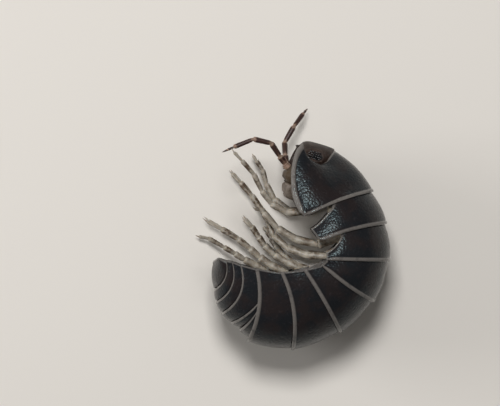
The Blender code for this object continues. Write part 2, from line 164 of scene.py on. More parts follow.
# The rim's edge is a half round, read at these degrees. Below it the plate thickens away from the edge
RIM_TURNS, RIM_ROUND = (20, 55, 90, 125, 160), 0.022
RIM_THICKNESS, RIM_SLOPES_OVER = 0.080, 0.32
RIM_EDGE_COLOUR, UNDERSIDE_COLOUR, UNDERSIDE_ROWS = 0.8, 0.2, 9
UNDERSIDE_ENDS, UNDERSIDE_TUCKS, TUCK_DEEPENS = (0.02, 0.03), 0.24, 0.08
# A corner takes at most this share of the plate's length, and a shorter plate has narrower edges
CORNER_SHARE, LEAST_LENGTH, FULL_LENGTH = 0.45, 0.04, 0.62
# The side edge has a low bead: where its crest lies, how wide it is, and its height as a share of the lip
SIDE_BEAD_AT, SIDE_BEAD_WIDTH, SIDE_BEAD_HEIGHT = 0.06, 0.05, 0.4
# The side edge's pale band is partly the margin's own paler colour, partly a painted highlight along it: how
# pale, where it starts, over how far it fades
SIDE_PALENESS_AND_HIGHLIGHT, SIDE_COLOUR_FROM, SIDE_COLOUR_OVER = 0.7, 0.05, 0.06
# The first plate is smoothed away from the back's middle, and its lobes are fuller there
SMOOTHING_LEVELS, SMOOTHING_STEP, SMOOTHED_FROM, SMOOTHED_OVER = 61, 0.6, 0.12, 0.62
FIRST_SMOOTHINGS, FIRST_ROWS, FIRST_BULGE = 700, 24, 0.20
BULGE_AT, BULGE_WIDTH, BULGE_POWER = 0.66, 0.16, 1.5

# The head's own axes start at its crown
HEAD_ORIGIN = np.array([0.945, 5.12])
HEAD_FORWARD = 162.8
HEAD_SQUARENESS = 0.80
# Levels from the crown down: depth, how far the front and the rear stand from the origin, half width
HEAD_LEVELS = (
    (0.00, 0.20, -0.30, 0.14),
    (0.03, 0.56, -0.60, 0.52),
    (0.14, 0.80, -0.68, 0.96),
    (0.32, 0.90, -0.74, 1.29),
    (0.60, 0.99, -0.76, 1.47),
    (1.00, 1.06, -0.72, 1.48),
    (1.45, 1.12, -0.46, 1.34),
    (1.85, 1.13, -0.12, 1.08),
    (2.06, 1.03, -0.02, 0.88),
    (2.18, 0.86, 0.10, 0.66),
)
JAW_FOOT_LEVELS = (
    (2.08, 0.96, 0.16, 0.66),
    (2.16, 1.09, 0.08, 0.84),
    (2.34, 1.08, 0.10, 0.83),
    (2.53, 1.00, 0.14, 0.72),
    (2.72, 0.86, 0.22, 0.54),
    (2.79, 0.66, 0.34, 0.32),
)
# Lines across the face, as ridges or, with a height below 0, grooves: depth at the middle and how it grows
# sideways, half width, the side at which each fades and over how far, and height
Line = namedtuple("Line", "down slope width until fades height")
FACE_LINES = (
    Line(0.37, 0.0, 0.055, 0.64, 0.10, 0.10),  # along the top of the forehead's shield
    Line(1.29, 0.0, 0.050, 0.50, 0.10, -0.06),  # between the forehead and the bar
    Line(1.43, 0.12, 0.080, 0.60, 0.16, 0.08),  # the bar over the mouth
)
PALP_LINE = Line(2.537, 0.15, 0.030, 0.40, 0.06, -0.05)
# Round swellings and pits: side and depth, half widths both ways, and height
Knob = namedtuple("Knob", "side down wide deep height")
FACE_KNOBS = (
    Knob(1.06, 1.08, 0.15, 0.26, 0.14),  # the lobe outside a feeler's root
    Knob(0.74, 1.22, 0.17, 0.17, -0.20),  # the feeler's socket
    Knob(0.72, 1.80, 0.25, 0.25, 0.12),  # a jaw
    Knob(0.18, 2.03, 0.13, 0.08, 0.09),  # its tip
)
SOCKET_RING, SOCKET_RING_WIDTH, SOCKET_RING_HEIGHT = 0.27, 0.06, 0.07
# The jaw feet's lines from top to bottom: side, half width and height
JAW_FOOT_LINES = ((0.0, 0.040, -0.10), (0.22, 0.15, 0.05), (0.45, 0.045, -0.06))
# The forehead's shield is a triangle that stands on its point
SHIELD_HALF, SHIELD_TOP, SHIELD_DEPTH, SHIELD_HEIGHT = 0.70, 0.36, 0.95, 0.07
LIP_HALF, LIP_DOWN, LIP_DEPTH, LIP_HEIGHT = 0.40, 1.76, 0.20, 0.09
# How deep or high its other forms are: the grooves for the feeler, round the lip, between the jaws and at the
# nape, the brow over the eye, and the eye's raised edge and sunk bed
FEELER_GROOVE, LIP_GROOVE, JAW_GROOVE, NAPE_GROOVE = 0.09, 0.06, 0.10, 0.03
BROW_HEIGHT, ORBIT_HEIGHT, EYE_SINKS = 0.08, 0.04, 0.02
EYE_DEPTH, EYE_FORWARD = 0.58, 0.12
EYE_LENGTH, EYE_HEIGHT = 0.72, 0.44
# Beads in each row, the spacing of beads and rows in beads, and how deep the bed's foot and the beads sit
EYE_ROWS, BEAD_PITCH, ROW_PITCH = (5, 6, 6, 5), 1.02, 0.87
BED_FOOT, BED_RISE, BEADS_FOOT, BEADS_RISE = -0.05, 0.07, -0.028, 0.05

# Legs: where each hip lies, the first article's rise and what each further one adds, and the articles'
# lengths and headings: coxa, both halves of the bowed basis, ischium, merus, carpus, and foot
Leg = namedtuple("Leg", "x y z rise curl lengths headings")
LEFT_LEGS = (
    Leg(0.92, 2.46, 1.95, 6, 2,
        (0.68, 0.92, 0.84, 0.74, 0.84, 0.84, 0.76), (212, 184, 151, 127, 116, 131, 130)),
    Leg(1.42, 0.84, 2.05, 4, 0,
        (0.66, 0.98, 1.00, 0.96, 0.92, 0.78, 0.76), (200, 168, 150, 131, 126, 131, 130)),
    Leg(1.80, 0.38, 2.16, 0, -3,
        (0.66, 0.94, 0.92, 0.82, 0.64, 0.66, 0.46), (206, 177, 160, 140, 112, 116, 160)),
    Leg(1.08, -0.82, 1.62, 2, -8,
        (0.66, 0.66, 0.74, 0.64, 0.52, 0.40, 0.40), (154, 164, 143, 127, 118, 124, 127)),
    Leg(0.54, -1.12, 2.12, 2, 0,
        (0.66, 0.74, 0.78, 0.60, 0.46, 0.56, 0.66), (124, 153, 151, 137, 125, 125, 131)),
    Leg(-0.58, -1.24, 1.92, 5, 0,
        (0.66, 0.62, 0.66, 0.60, 0.66, 0.90, 1.00), (102, 156, 146, 138, 141, 149, 148)),
    Leg(-1.68, -1.16, 1.70, 8, 2,
        (0.62, 0.55, 0.55, 0.52, 0.58, 0.84, 0.64), (78, 152, 153, 147, 149, 150, 167)),
)
# The first right leg shows beside the left one, and the others lean this many degrees off theirs
FIRST_RIGHT_LEG = Leg(
    0.92, 2.42, 1.95, 4, 1, (0.68, 0.80, 0.84, 0.80, 0.66, 0.50, 0.40), (206, 180, 142, 118, 104, 125, 118))
RIGHT_LEANS = (-0.8, -1.4, 1, -1, -0.7, 0.8)
RIGHT_LEGS = (FIRST_RIGHT_LEG,) + tuple(
    leg._replace(headings=[heading + lean for heading in leg.headings])
    for leg, lean in zip(LEFT_LEGS[1:], RIGHT_LEANS)
)
# The foot ends in a claw, which takes the rest of its length: how their headings differ from the table's
FOOT_SHARE, FOOT_TURN, CLAW_TURN = 0.70, 3, -7
# Each article's radius, height as a share of width, how much brown marks it, and how bristly it is
Article = namedtuple("Article", "radius flat mark bristle jointed")
LEG_ARTICLES = (
    # The coxa's and basis's strong marks are partly brown marks and partly painted shade of the plates' lobes
    # over the leg bases
    Article(0.200, 0.86, 1.00, 0.0, False),
    Article(0.166, 0.84, 1.10, 0.0, True),
    Article(0.156, 0.84, 0.90, 0.1, False),
    Article(0.134, 0.86, 0.80, 0.4, True),
    Article(0.116, 0.88, 1.50, 1.0, True),
    Article(0.102, 0.88, 2.00, 1.0, True),
    Article(0.070, 0.92, 0.15, 0.7, True),
    Article(0.034, 0.90, 0.40, 0.0, True),
)
# Feelers: length, heading and rise of each article
FEELER_ROOT = (-0.60, 4.15, 0.72)
LEFT_FEELER = (
    (0.12, 130, 10), (0.42, 126, 18), (0.74, 123, 18), (0.84, 167, 14), (0.96, 202, 8), (0.30, 204, 4),
    (0.30, 204, 0),
)
RIGHT_FEELER = (
    (0.12, 100, 16), (0.40, 97, 30), (0.70, 92, 30), (0.84, 60, 10), (0.90, 54, 36), (0.30, 50, 56),
    (0.28, 48, 56),
)
FEELER_ARTICLES = (
    Article(0.165, 1.0, 0.20, 0.0, False),
    Article(0.140, 0.95, 1.60, 0.4, True),
    Article(0.124, 0.95, 2.60, 0.6, True),
    Article(0.120, 0.95, 3.00, 0.8, True),
    Article(0.102, 0.95, 3.00, 1.0, True),
    Article(0.055, 1.0, 3.00, 0.8, True),
    Article(0.046, 1.0, 3.00, 1.0, True),
)
# How wide a limb is along an article: place along it, and share of the article's radius
BURIED_ROOT, BLENDED_START = ((-0.9, 1.0), (0.15, 1.0)), ((0.04, 1.0), (0.15, 1.0))
JOINT_NECK = ((0.0, 0.72), (0.04, 0.74), (0.09, 0.84), (0.16, 0.92))
SWELLING = ((0.30, 0.96), (0.50, 0.99), (0.68, 1.03), (0.82, 1.05))
JOINT_COLLAR, BLENDED_END = ((0.91, 1.02), (0.96, 0.96), (0.99, 0.85), (1.005, 0.70)), ((0.96, 1.03),)
CLAW = ((0.0, 0.9), (0.08, 1.0), (0.25, 0.95), (0.45, 0.78), (0.65, 0.55), (0.85, 0.30), (1.0, 0.06))
# An unjointed article takes up the one before it over this share, and limbs bend over this share
BLENDS_OVER, BENDS_OVER = 0.35, 0.2

# The soft body fills the arch under the solids' plates, which are this thick, down to this share of its
# rise. It starts at the neck, and its last ring is drawn in a little
BELLY_SHARE, SOLID_PLATE, TAIL_NARROWS = 0.62, 0.42, 0.1
NECK = Rim(4.55, 62.0, 0.55, 2.95, 2.35, 0.0)
BELLY_ROWS, BELLY_COLUMNS, BELLY_SHARES = 221, 48, 41
# On its underside: grooves between the segments, a furrow down the middle, folds, and the legs' hips, which
# lie at this share of its half width
GROOVE_DEPTH, FURROW_DEPTH, FOLD_DEPTH, HIP_HEIGHT, HIPS_AT = 0.20, 0.05, 0.04, 0.16, 0.88
# The gill plates: where the first and last pairs start, the first's heading, and how the others turn outwards
GILL_PAIRS, GILL_PAIRS_WITH_AIR = 5, 2
GILLS_FROM, GILLS_TO = np.array([-1.55, -1.75]), np.array([-2.95, -0.78])
GILLS_HEADING, GILLS_FAN = 137.0, -1.0
GILL_HALF, GILL_REACH, GILL_SHRINKS, GILL_THICKNESS = 0.54, 0.84, 0.05, 0.045

# How often the clouds of the finishes break up into smaller ones, and how strong these are
USUAL_DETAIL, CLOUD_FRAYING = 3.0, 0.55
# The plates' grains, and the head's pits, in millimetres. The real grains are finer, and wouldn't show
GRAIN_DEPTH, PIT_SPACING, PIT_DEPTH = 0.00988, 1 / 17, 0.0036

# The picture's frame: its size in pixels, what one pixel measures, and where in it the curl centre lies
PICTURE_WIDTH, PICTURE_HEIGHT = 500, 406
PIXEL = 0.045
CURL_PIXEL = (300.0, 258.0)
# Lights: place, size, and power as a share of the key light's
LIGHTS = {
    "key_light": ((-0.004, 0.043, 0.127), 0.032, 1.0),
    "fill_light": ((0.090, 0.020, 0.110), 0.10, 0.03),
    "low_light": ((-0.100, 0.015, 0.045), 0.05, 0.36),
}
SKY_STRENGTH = 0.16
FLOOR_REACH = 0.25
SENSOR_WIDTH = 36.0


def linear(hex_colour):
    """An sRGB hex colour as linear red, green and blue, and full alpha."""
    parts = [int(hex_colour[i:i + 2], 16) / 255 for i in (1, 3, 5)]
    return (*(p / 12.92 if p <= 0.04045 else ((p + 0.055) / 1.055) ** 2.4 for p in parts), 1.0)


def colour_setting(name, description, hex_colour):
    """A colour that a user may change."""
    return bpy.props.FloatVectorProperty(
        name=name, description=description, default=linear(hex_colour), subtype="COLOR", size=4, min=0, max=1)


def length_setting(name, description, millimetres):
    """A length that a user may change."""
    return bpy.props.FloatProperty(
        name=name, description=description, default=millimetres * MM, precision=6, unit="LENGTH")


class ShellSettings(bpy.types.PropertyGroup):
    """Sizes and colours of the horny plates."""

    thickness: length_setting("Plate Thickness", "Thickness of a plate", 0.15)
    rim_height: length_setting("Rim Height", "How far a rear rim stands up", 0.030)
    grain_spacing: length_setting("Grain Spacing", "Distance between the fine grains", 0.108)
    colour: colour_setting("Shell", "Colour of the plates", "#1b1c1f")
    # Warm clouds: partly the shell's own browner tone, partly a painted warm reflection on the plates
    warm_tone_and_painted_reflection: colour_setting("Warm Shell", "Colour in the warmer clouds", "#251f1f")
    rim_colour: colour_setting("Rim", "Colour of the worn rims", "#6c6763")


class LimbSettings(bpy.types.PropertyGroup):
    """Sizes and colours of the legs and feelers."""

    bristle_length: length_setting("Bristle Length", "Length of a leg bristle", 0.085)
    hair_length: length_setting("Hair Length", "Length of a feeler hair", 0.035)
    leg_colour: colour_setting("Leg", "Colour of the pale leg articles", "#a39c90")
    mark_colour: colour_setting("Leg Marks", "Colour of the brown marks", "#4e3f30")
    feeler_colour: colour_setting("Feeler", "Colour of the feelers", "#38241f")


class HeadSettings(bpy.types.PropertyGroup):
    """Sizes and colours of the head and its eyes."""

    bead_size: length_setting("Bead Size", "Diameter of one bead of the eye", 0.105)
    colour: colour_setting("Head", "Colour of the head", "#261c18")
    mouth_colour: colour_setting("Mouthparts", "Colour of the mouthparts", "#463a2c")


class StageSettings(bpy.types.PropertyGroup):
    """The floor, the lights and the camera."""

    floor_colour: colour_setting("Floor", "Colour of the floor", "#d9d4cd")
    key_power: bpy.props.FloatProperty(
        name="Key Light", description="Power of the main light", default=0.132, unit="POWER")
    camera_height: length_setting("Camera Height", "Camera above the floor", 300)


def direction(degrees):
    """Unit vector in the mid plane at this bearing."""
    return np.array([math.cos(math.radians(degrees)), math.sin(math.radians(degrees))])


def turns(sides):
    """Angles at equal steps round a ring."""
    return np.linspace(0, 2 * np.pi, sides, endpoint=False)


def smooth(value):
    """0 below 0, 1 above 1, and a smooth rise between them."""
    value = np.clip(value, 0.0, 1.0)
    return value * value * (3 - 2 * value)


def bell(distance):
    """1 at no distance, falling smoothly to almost 0 at 2."""
    return np.exp(-np.square(distance))


def spline(rows, places):
    """Rows read at fractional places on a smooth curve through the given rows."""
    rows = np.asarray(rows, float)
    places = np.clip(places, 0, len(rows) - 1)
    index = np.minimum(places.astype(int), len(rows) - 2)
    part = (places - index).reshape(-1, *[1] * (rows.ndim - 1))
    padded = np.concatenate([2 * rows[:1] - rows[1:2], rows, 2 * rows[-1:] - rows[-2:-1]])
    a, b, c, d = (padded[index + k] for k in range(4))
    bend, twist = 2 * a - 5 * b + 4 * c - d, 3 * b - a - 3 * c + d
    return 0.5 * (2 * b + (c - a) * part + bend * part**2 + twist * part**3)


def arch(share):
    """How much of the height and of the width is left at each share of a cross arch."""
    angle = np.abs(share) * np.pi / 2
    return np.maximum(np.cos(angle), 0) ** ARCH_POWER, np.sin(angle) ** ARCH_POWER


Axes = namedtuple("Axes", "top corner up headward")


def rim_axes(rim):
    """Top and corner of a rim, and the unit vectors from corner to top and towards the head."""
    top = rim.radius * direction(rim.bearing)
    corner = np.array([rim.corner_x, rim.corner_y])
    up = (top - corner) / np.linalg.norm(top - corner)
    return Axes(top, corner, up, np.array([-up[1], up[0]]))


def rim_points(rim, share, inset=0.0):
    """Points on a rim. The share runs from -1 at the right corner over the back at 0 to 1 at the left."""
    axes = rim_axes(rim)
    rise, spread = arch(share)
    inset = np.broadcast_to(inset, share.shape)
    span = (axes.top - axes.corner)[None] - inset[:, None] * axes.up
    bow = rim.bow * 4 * rise * (1 - rise)
    flat = axes.corner + span * rise[:, None] + axes.headward * bow[:, None]
    return np.column_stack([flat, np.sign(share) * (rim.half_width - inset) * spread])


def short_rim_points(name, share, inset=0.0, hidden=0.0):
    """Points on the rim of one of the two short plates, which runs in under the seventh plate's rim.

    hidden, a negative share of the rim's distance from the seventh plate's, says how far in it goes.
    """
    seventh, short = RIMS["pereonite_7"], SHORT_RIMS[name]
    away = short.radius * direction(short.bearing) - rim_axes(seventh).top
    points = rim_points(seventh, share, inset)
    shows = np.maximum(hidden, 1 - (np.abs(share) / short.reach) ** SHORT_RIM_POWER)
    points[:, :2] += away * shows[:, None]
    return points


def behind(points, rim, distance):
    """Points moved towards the tail."""
    moved = points.copy()
    moved[:, :2] -= rim_axes(rim).headward * distance
    return moved


def first_front_points(share, inset=0.0):
    """Points on the first plate's front margin, on a smooth curve through its named points."""
    stops = [stop[0] for stop in FIRST_FRONT]
    mirrored = [(-s, x, y, -z) for s, x, y, z in FIRST_FRONT[:0:-1]]
    rows = np.array(mirrored + list(FIRST_FRONT))
    tip = stops.index(LOBE_TIP)
    place = np.interp(np.abs(share), stops, np.arange(len(stops)))
    # The margin has a sharp corner at the lobe's tip, so the curve is read in two lengths
    middle = rows[len(stops) - 1 - tip:len(stops) + tip, 1:]
    upper = spline(middle, np.sign(share) * np.minimum(place, tip) + tip)
    lower = spline(np.array(FIRST_FRONT)[tip:, 1:], np.maximum(place - tip, 0))
    lower[:, 2] *= np.sign(share)
    points = np.where((place > tip)[:, None], lower, upper)
    rise, spread = arch(share)
    inset = np.broadcast_to(inset, share.shape)
    points[:, :2] -= direction(FIRST_FRONT_FACES) * (inset * rise)[:, None]
    points[:, 2] -= np.sign(share) * inset * spread
    return points


def front_points(name, previous, share, inset):
    """Points on the front edge of a plate, just behind and a step below the rim in front of it."""
    rim = RIMS[previous]
    points = behind(rim_points(rim, share, inset + PLATE_STEP), rim, PLATE_CUT)
    if name in FRONT_CORNERS:
        *corner, parts_at = FRONT_CORNERS[name]
        shift = np.array(corner) - rim_axes(rim).corner
        points[:, :2] += shift * smooth((np.abs(share) - parts_at) / (1 - parts_at))[:, None]
    return points


def make_object(name, points, faces, material, attributes=None):
    """A mesh object from millimetre points round the curl centre, closed, facing out, kept off the floor."""
    world = np.asarray(points) + CURL_CENTRE
    world[:, 2] = np.maximum(world[:, 2], 0.0)
    mesh = bpy.data.meshes.new(name)
    mesh.from_pydata((world * MM).tolist(), [], [list(map(int, face)) for face in faces])
    for key, values in (attributes or {}).items():
        values = np.asarray(values, np.float32)
        kind, field = ("FLOAT", "value") if values.ndim == 1 else ("FLOAT_VECTOR", "vector")
        mesh.attributes.new(key, kind, "POINT").data.foreach_set(field, values.ravel())
    shape = bmesh.new()
    shape.from_mesh(mesh)
    bmesh.ops.remove_doubles(shape, verts=shape.verts, dist=MERGED_WITHIN * MM)
    bmesh.ops.dissolve_degenerate(shape, edges=shape.edges, dist=SHORTEST_EDGE * MM)
    bmesh.ops.recalc_face_normals(shape, faces=shape.faces)
    shape.to_mesh(mesh)
    shape.free()
    mesh.materials.append(material)
    mesh.shade_smooth()
    mesh.set_sharp_from_angle(angle=math.radians(SHARP_FROM))
    made = bpy.data.objects.new(name, mesh)
    bpy.context.scene.collection.objects.link(made)
    return made


def fit_in(piece, nodes):
    """Makes a finished piece ride on the body and stand for its solids."""
    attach(piece, "root")
    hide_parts(*nodes)


def ring_faces(rows, columns, first=0, closed_rows=False, closed_columns=True):
    """Faces over a grid of points, row by row, closed round its rows or columns where asked."""
    faces = []
    for row in range(rows if closed_rows else rows - 1):
        here, below = row * columns, (row + 1) % rows * columns
        for column in range(columns if closed_columns else columns - 1):
            right = (column + 1) % columns
            faces.append([first + corner for corner in (
                here + column, here + right, below + right, below + column)])
    return faces


def tube_faces(rows, columns, first=0):
    """Faces of a closed tube: its wall and its two end caps."""
    end = first + (rows - 1) * columns
    caps = [list(range(first, first + columns)), list(range(end, end + columns))]
    return ring_faces(rows, columns, first) + caps


def feed(node, inputs):
    """Links or sets a node's inputs, one value after another where a list is given."""
    for key, values in inputs.items():
        for value in values if isinstance(values, list) else [values]:
            if isinstance(value, bpy.types.NodeSocket):
                node.id_data.links.new(value, node.inputs[key])
            else:
                node.inputs[key].default_value = value


def add_node(tree, kind, inputs=None, output=0, **settings):
    """Adds a node with its settings and inputs, and gives the output that is asked for."""
    node = tree.nodes.new(kind)
    for key, value in settings.items():
        setattr(node, key, value)
    feed(node, inputs or {})
    return node.outputs[output] if node.outputs else None


def new_material(name):
    """An empty material, and coordinates in millimetres to lay its patterns on."""
    material = bpy.data.materials.new(name)
    material.use_nodes = True
    tree = material.node_tree
    place = add_node(tree, "ShaderNodeTexCoord", output="Object")
    return material, tree, add_node(tree, "ShaderNodeMapping", {"Vector": place, "Scale": (1 / MM,) * 3})


def clouded(tree, place, size, low, high, detail=USUAL_DETAIL):
    """Clouds about this many millimetres across, spread smoothly from 0 at low to 1 at high."""
    clouds = add_node(tree, "ShaderNodeTexNoise", {
        "Vector": place, "Scale": 1 / size, "Detail": detail, "Roughness": CLOUD_FRAYING})
    return add_node(tree, "ShaderNodeMapRange", {
        "Value": clouds, "From Min": low, "From Max": high}, interpolation_type="SMOOTHSTEP")


def laid_over(tree, below, above, amount, strength=1.0):
    """One colour laid over another where a pattern says, as strongly as asked."""
    factor = add_node(tree, "ShaderNodeMath", {0: amount, 1: strength}, operation="MULTIPLY")
    return add_node(tree, "ShaderNodeMix", {0: factor, 6: below, 7: above}, output=2, data_type="RGBA")


def finish(tree, place, colour, clouds, inputs, relief=0.0):
    """Gives the shader its colour and inputs, and a bump of clouds, each of a size, a detail and a depth."""
    for size, detail, depth in clouds:
        noise = add_node(tree, "ShaderNodeTexNoise", {
            "Vector": place, "Scale": 1 / size, "Detail": detail, "Roughness": CLOUD_FRAYING})
        relief = add_node(tree, "ShaderNodeMath", {0: noise, 1: depth, 2: relief}, operation="MULTIPLY_ADD")
    bump = add_node(tree, "ShaderNodeBump", {"Height": relief, "Distance": MM})
    feed(tree.nodes["Principled BSDF"], {"Base Color": colour, "Normal": bump, **inputs})


def calcified_cuticle(settings):
    """Limy cuticle of the plates: slate black, a gloss that breaks up in fine grains, and worn pale rims."""
    material, tree, place = new_material("calcified_cuticle")
    # The rim attribute holds the pale rims and beads, and the side edges' band, which is partly a painted
    # highlight
    rim = add_node(tree, "ShaderNodeAttribute", output="Fac", attribute_name="rim")
    # Warm clouds over the slate: partly the shell's own browner tone, partly a painted warm reflection
    body = laid_over(tree, settings.colour, settings.warm_tone_and_painted_reflection, clouded(tree, place, 0.9, 0.38, 0.66))
    body = laid_over(tree, body, linear("#4a4244"), clouded(tree, place, 0.16, 0.56, 0.78, 4.0), 0.24)
    colour = laid_over(tree, body, settings.rim_colour, clouded(tree, place, 0.35, 0.1, 0.5), rim)
    noise = add_node(tree, "ShaderNodeTexNoise", {
        "Vector": place, "Scale": 1 / 0.3, "Detail": USUAL_DETAIL, "Roughness": CLOUD_FRAYING})
    satin = add_node(tree, "ShaderNodeMapRange", {"Value": noise, "To Min": 0.21, "To Max": 0.31})
    polished = add_node(tree, "ShaderNodeMapRange", {"Value": rim, "To Min": satin, "To Max": 0.11})
    spots = add_node(tree, "ShaderNodeTexVoronoi", {"Vector": place, "Scale": MM / settings.grain_spacing})
    domes = add_node(tree, "ShaderNodeMath", {0: spots, 1: 2.0}, operation="POWER")
    grains = add_node(tree, "ShaderNodeMath", {0: domes, 1: -GRAIN_DEPTH}, operation="MULTIPLY")
    finish(tree, place, colour, ((0.45, 1.0, 0.00532), (0.05, 2.0, 0.0019)), {
        "Roughness": polished, "Specular IOR Level": 0.17, "Specular Tint": linear("#dffaff")}, grains)
    return material


def head_cuticle(settings):
    """Cuticle of the head: browner and more matt than the plates, with close pits."""
    material, tree, place = new_material("head_cuticle")
    mouth = add_node(tree, "ShaderNodeAttribute", output="Fac", attribute_name="mouth")
    jaw_tip = add_node(tree, "ShaderNodeAttribute", output="Fac", attribute_name="jaw_tip")
    body = laid_over(tree, settings.colour, linear("#372a24"), clouded(tree, place, 0.35, 0.4, 0.7))
    body = laid_over(tree, body, linear("#584c45"), clouded(tree, place, 0.10, 0.58, 0.72), 0.4)
    colour = laid_over(tree, body, settings.mouth_colour, mouth)
    colour = laid_over(tree, colour, linear("#180d08"), jaw_tip)
    spots = add_node(tree, "ShaderNodeTexVoronoi", {"Vector": place, "Scale": 1 / PIT_SPACING})
    pits = add_node(tree, "ShaderNodeMapRange", {
        "Value": spots, "From Min": 0.12, "From Max": 0.45, "To Max": PIT_DEPTH
    }, interpolation_type="SMOOTHSTEP")
    finish(tree, place, colour, ((0.04, 2.0, 0.006),), {"Roughness": 0.46, "Specular IOR Level": 0.17}, pits)
    return material


def leg_cuticle(name, base, mark, strength, patches):
    """Thin cuticle over flesh: pale and slightly see-through, with brown marks, patchy where asked."""
    material, tree, place = new_material(name)
    # The mark attribute carries the brown marks, a paler band along each limb's top that is a painted
    # highlight, and strong marks on the legs' coxa and basis that are partly painted shade
    marked = add_node(tree, "ShaderNodeAttribute", output="Fac", attribute_name="mark")
    body = laid_over(tree, base, linear("#6f6555"), clouded(tree, place, 0.22, 0.35, 0.7), 0.5)
    patchy = add_node(tree, "ShaderNodeMath", {
        0: clouded(tree, place, 0.16, 0.38, 0.58), 1: patches, 2: 1 - patches}, operation="MULTIPLY_ADD")
    brown = add_node(tree, "ShaderNodeMath", {0: marked, 1: patchy}, operation="MULTIPLY")
    colour = laid_over(tree, body, mark, brown, strength)
    finish(tree, place, colour, ((0.045, USUAL_DETAIL, 0.006),), {
        "Roughness": 0.42, "Specular IOR Level": 0.36, "Subsurface Weight": 0.40,
        "Subsurface Radius": (0.9, 0.6, 0.4), "Subsurface Scale": 0.12 * MM})
    return material


def plain_finish(name, colour, cloud_colour, cloud_size, bump_size, bump_depth, roughness, coat=0.0):
    """A finish of two clouded colours and a fine bump."""
    material, tree, place = new_material(name)
    clouds = laid_over(tree, colour, cloud_colour, clouded(tree, place, cloud_size, 0.35, 0.7))
    finish(tree, place, clouds, ((bump_size, USUAL_DETAIL, bump_depth),), {
        "Roughness": roughness, "Coat Weight": coat})
    return material


def mirrored_shares(runs):
    """Shares of an arch for a plate's columns, from runs of a start, an end and a number of columns."""
    side = np.concatenate([np.linspace(*run, endpoint=False) for run in runs] + [SIDE_SHARES])
    return np.concatenate([-side[:0:-1], side])


def smoothing_shifts(grid, times):
    """How each point of a grid moves when the grid is smoothed this many times with its edges held."""
    eased = grid.copy()
    for _ in range(times):
        around = (eased[:-2, 1:-1] + eased[2:, 1:-1] + eased[1:-1, :-2] + eased[1:-1, 2:]) / 4
        eased[1:-1, 1:-1] = (1 - SMOOTHING_STEP) * eased[1:-1, 1:-1] + SMOOTHING_STEP * around
    return eased - grid


# front and rear give a plate's edges at a share and inset, tucked says how much of each column's front lies
# under the plate before it, and bead is the width of a free front's raised bead
Plate = namedtuple(
    "Plate", "share front rear up headward crown tucked bead rounds rim_scale rows smoothings bulge",
    defaults=(1.0, 0.08, USUAL_ROUNDS, 1.0, 12, 0, 0.0))


def section_stops(plate, settings, start, length, squeeze):
    """A plate's section: places along it, how deep each lies, and how much of the rim's colour it has."""
    thick = settings.thickness / MM
    lip = settings.rim_height / MM * plate.rim_scale
    zero, tucked = np.zeros_like(plate.share), plate.tucked
    bead = np.minimum(plate.bead, BEAD_SHARE * length)
    stops = []
    for (tuck_at, tuck_depth), (bead_at, bead_depth) in zip(TUCKED_FRONT, BEAD_FRONT):
        at = tuck_at * tucked * squeeze + bead_at * bead * (1 - tucked)
        # The bead's own profile grows with its width, and the edge below it with the plate's thickness
        free_depth = bead_depth * thick * (plate.bead / BEAD_WIDTH if bead_depth < 0.1 else 1)
        depth = tuck_depth * tucked * squeeze + free_depth * (1 - tucked)
        pale = (1 - tucked) * (1 - smooth((bead_at - BEAD_PALE_TO) / BEAD_FADES_OVER))
        stops.append((at, depth, zero + pale))
    narrow = squeeze * plate.rim_scale
    first, last = stops[-1][0], length - REAR_STOPS[0][0] * narrow
    for part in np.arange(1, plate.rows) / plate.rows:
        stops.append((first * (1 - part) + last * part, zero, zero))
    for back, depth, rim in REAR_STOPS:
        stops.append((length - back * narrow, zero + (depth * lip if depth < 0 else depth), zero + rim))
    for turn in np.radians(RIM_TURNS):
        depth = RIM_THICKNESS * (0.5 - 0.5 * math.cos(turn))
        stops.append((length - RIM_ROUND * (1 - math.sin(turn)), zero + depth, zero + RIM_EDGE_COLOUR))
    near_rim, near_front = UNDERSIDE_ENDS
    for part in (np.arange(UNDERSIDE_ROWS) + 0.4) / UNDERSIDE_ROWS:
        tuck = tucked * squeeze
        at = (length - near_rim) * (1 - part) + near_front * part - UNDERSIDE_TUCKS * tuck * part
        depth = RIM_THICKNESS + (thick - RIM_THICKNESS) * smooth((length - at) / RIM_SLOPES_OVER)
        depth = depth + TUCK_DEEPENS * tuck * smooth(part * 1.6 - 0.6)
        stops.append((at, depth, zero + UNDERSIDE_COLOUR))
    return [(start + at, depth, rim) for at, depth, rim in stops]


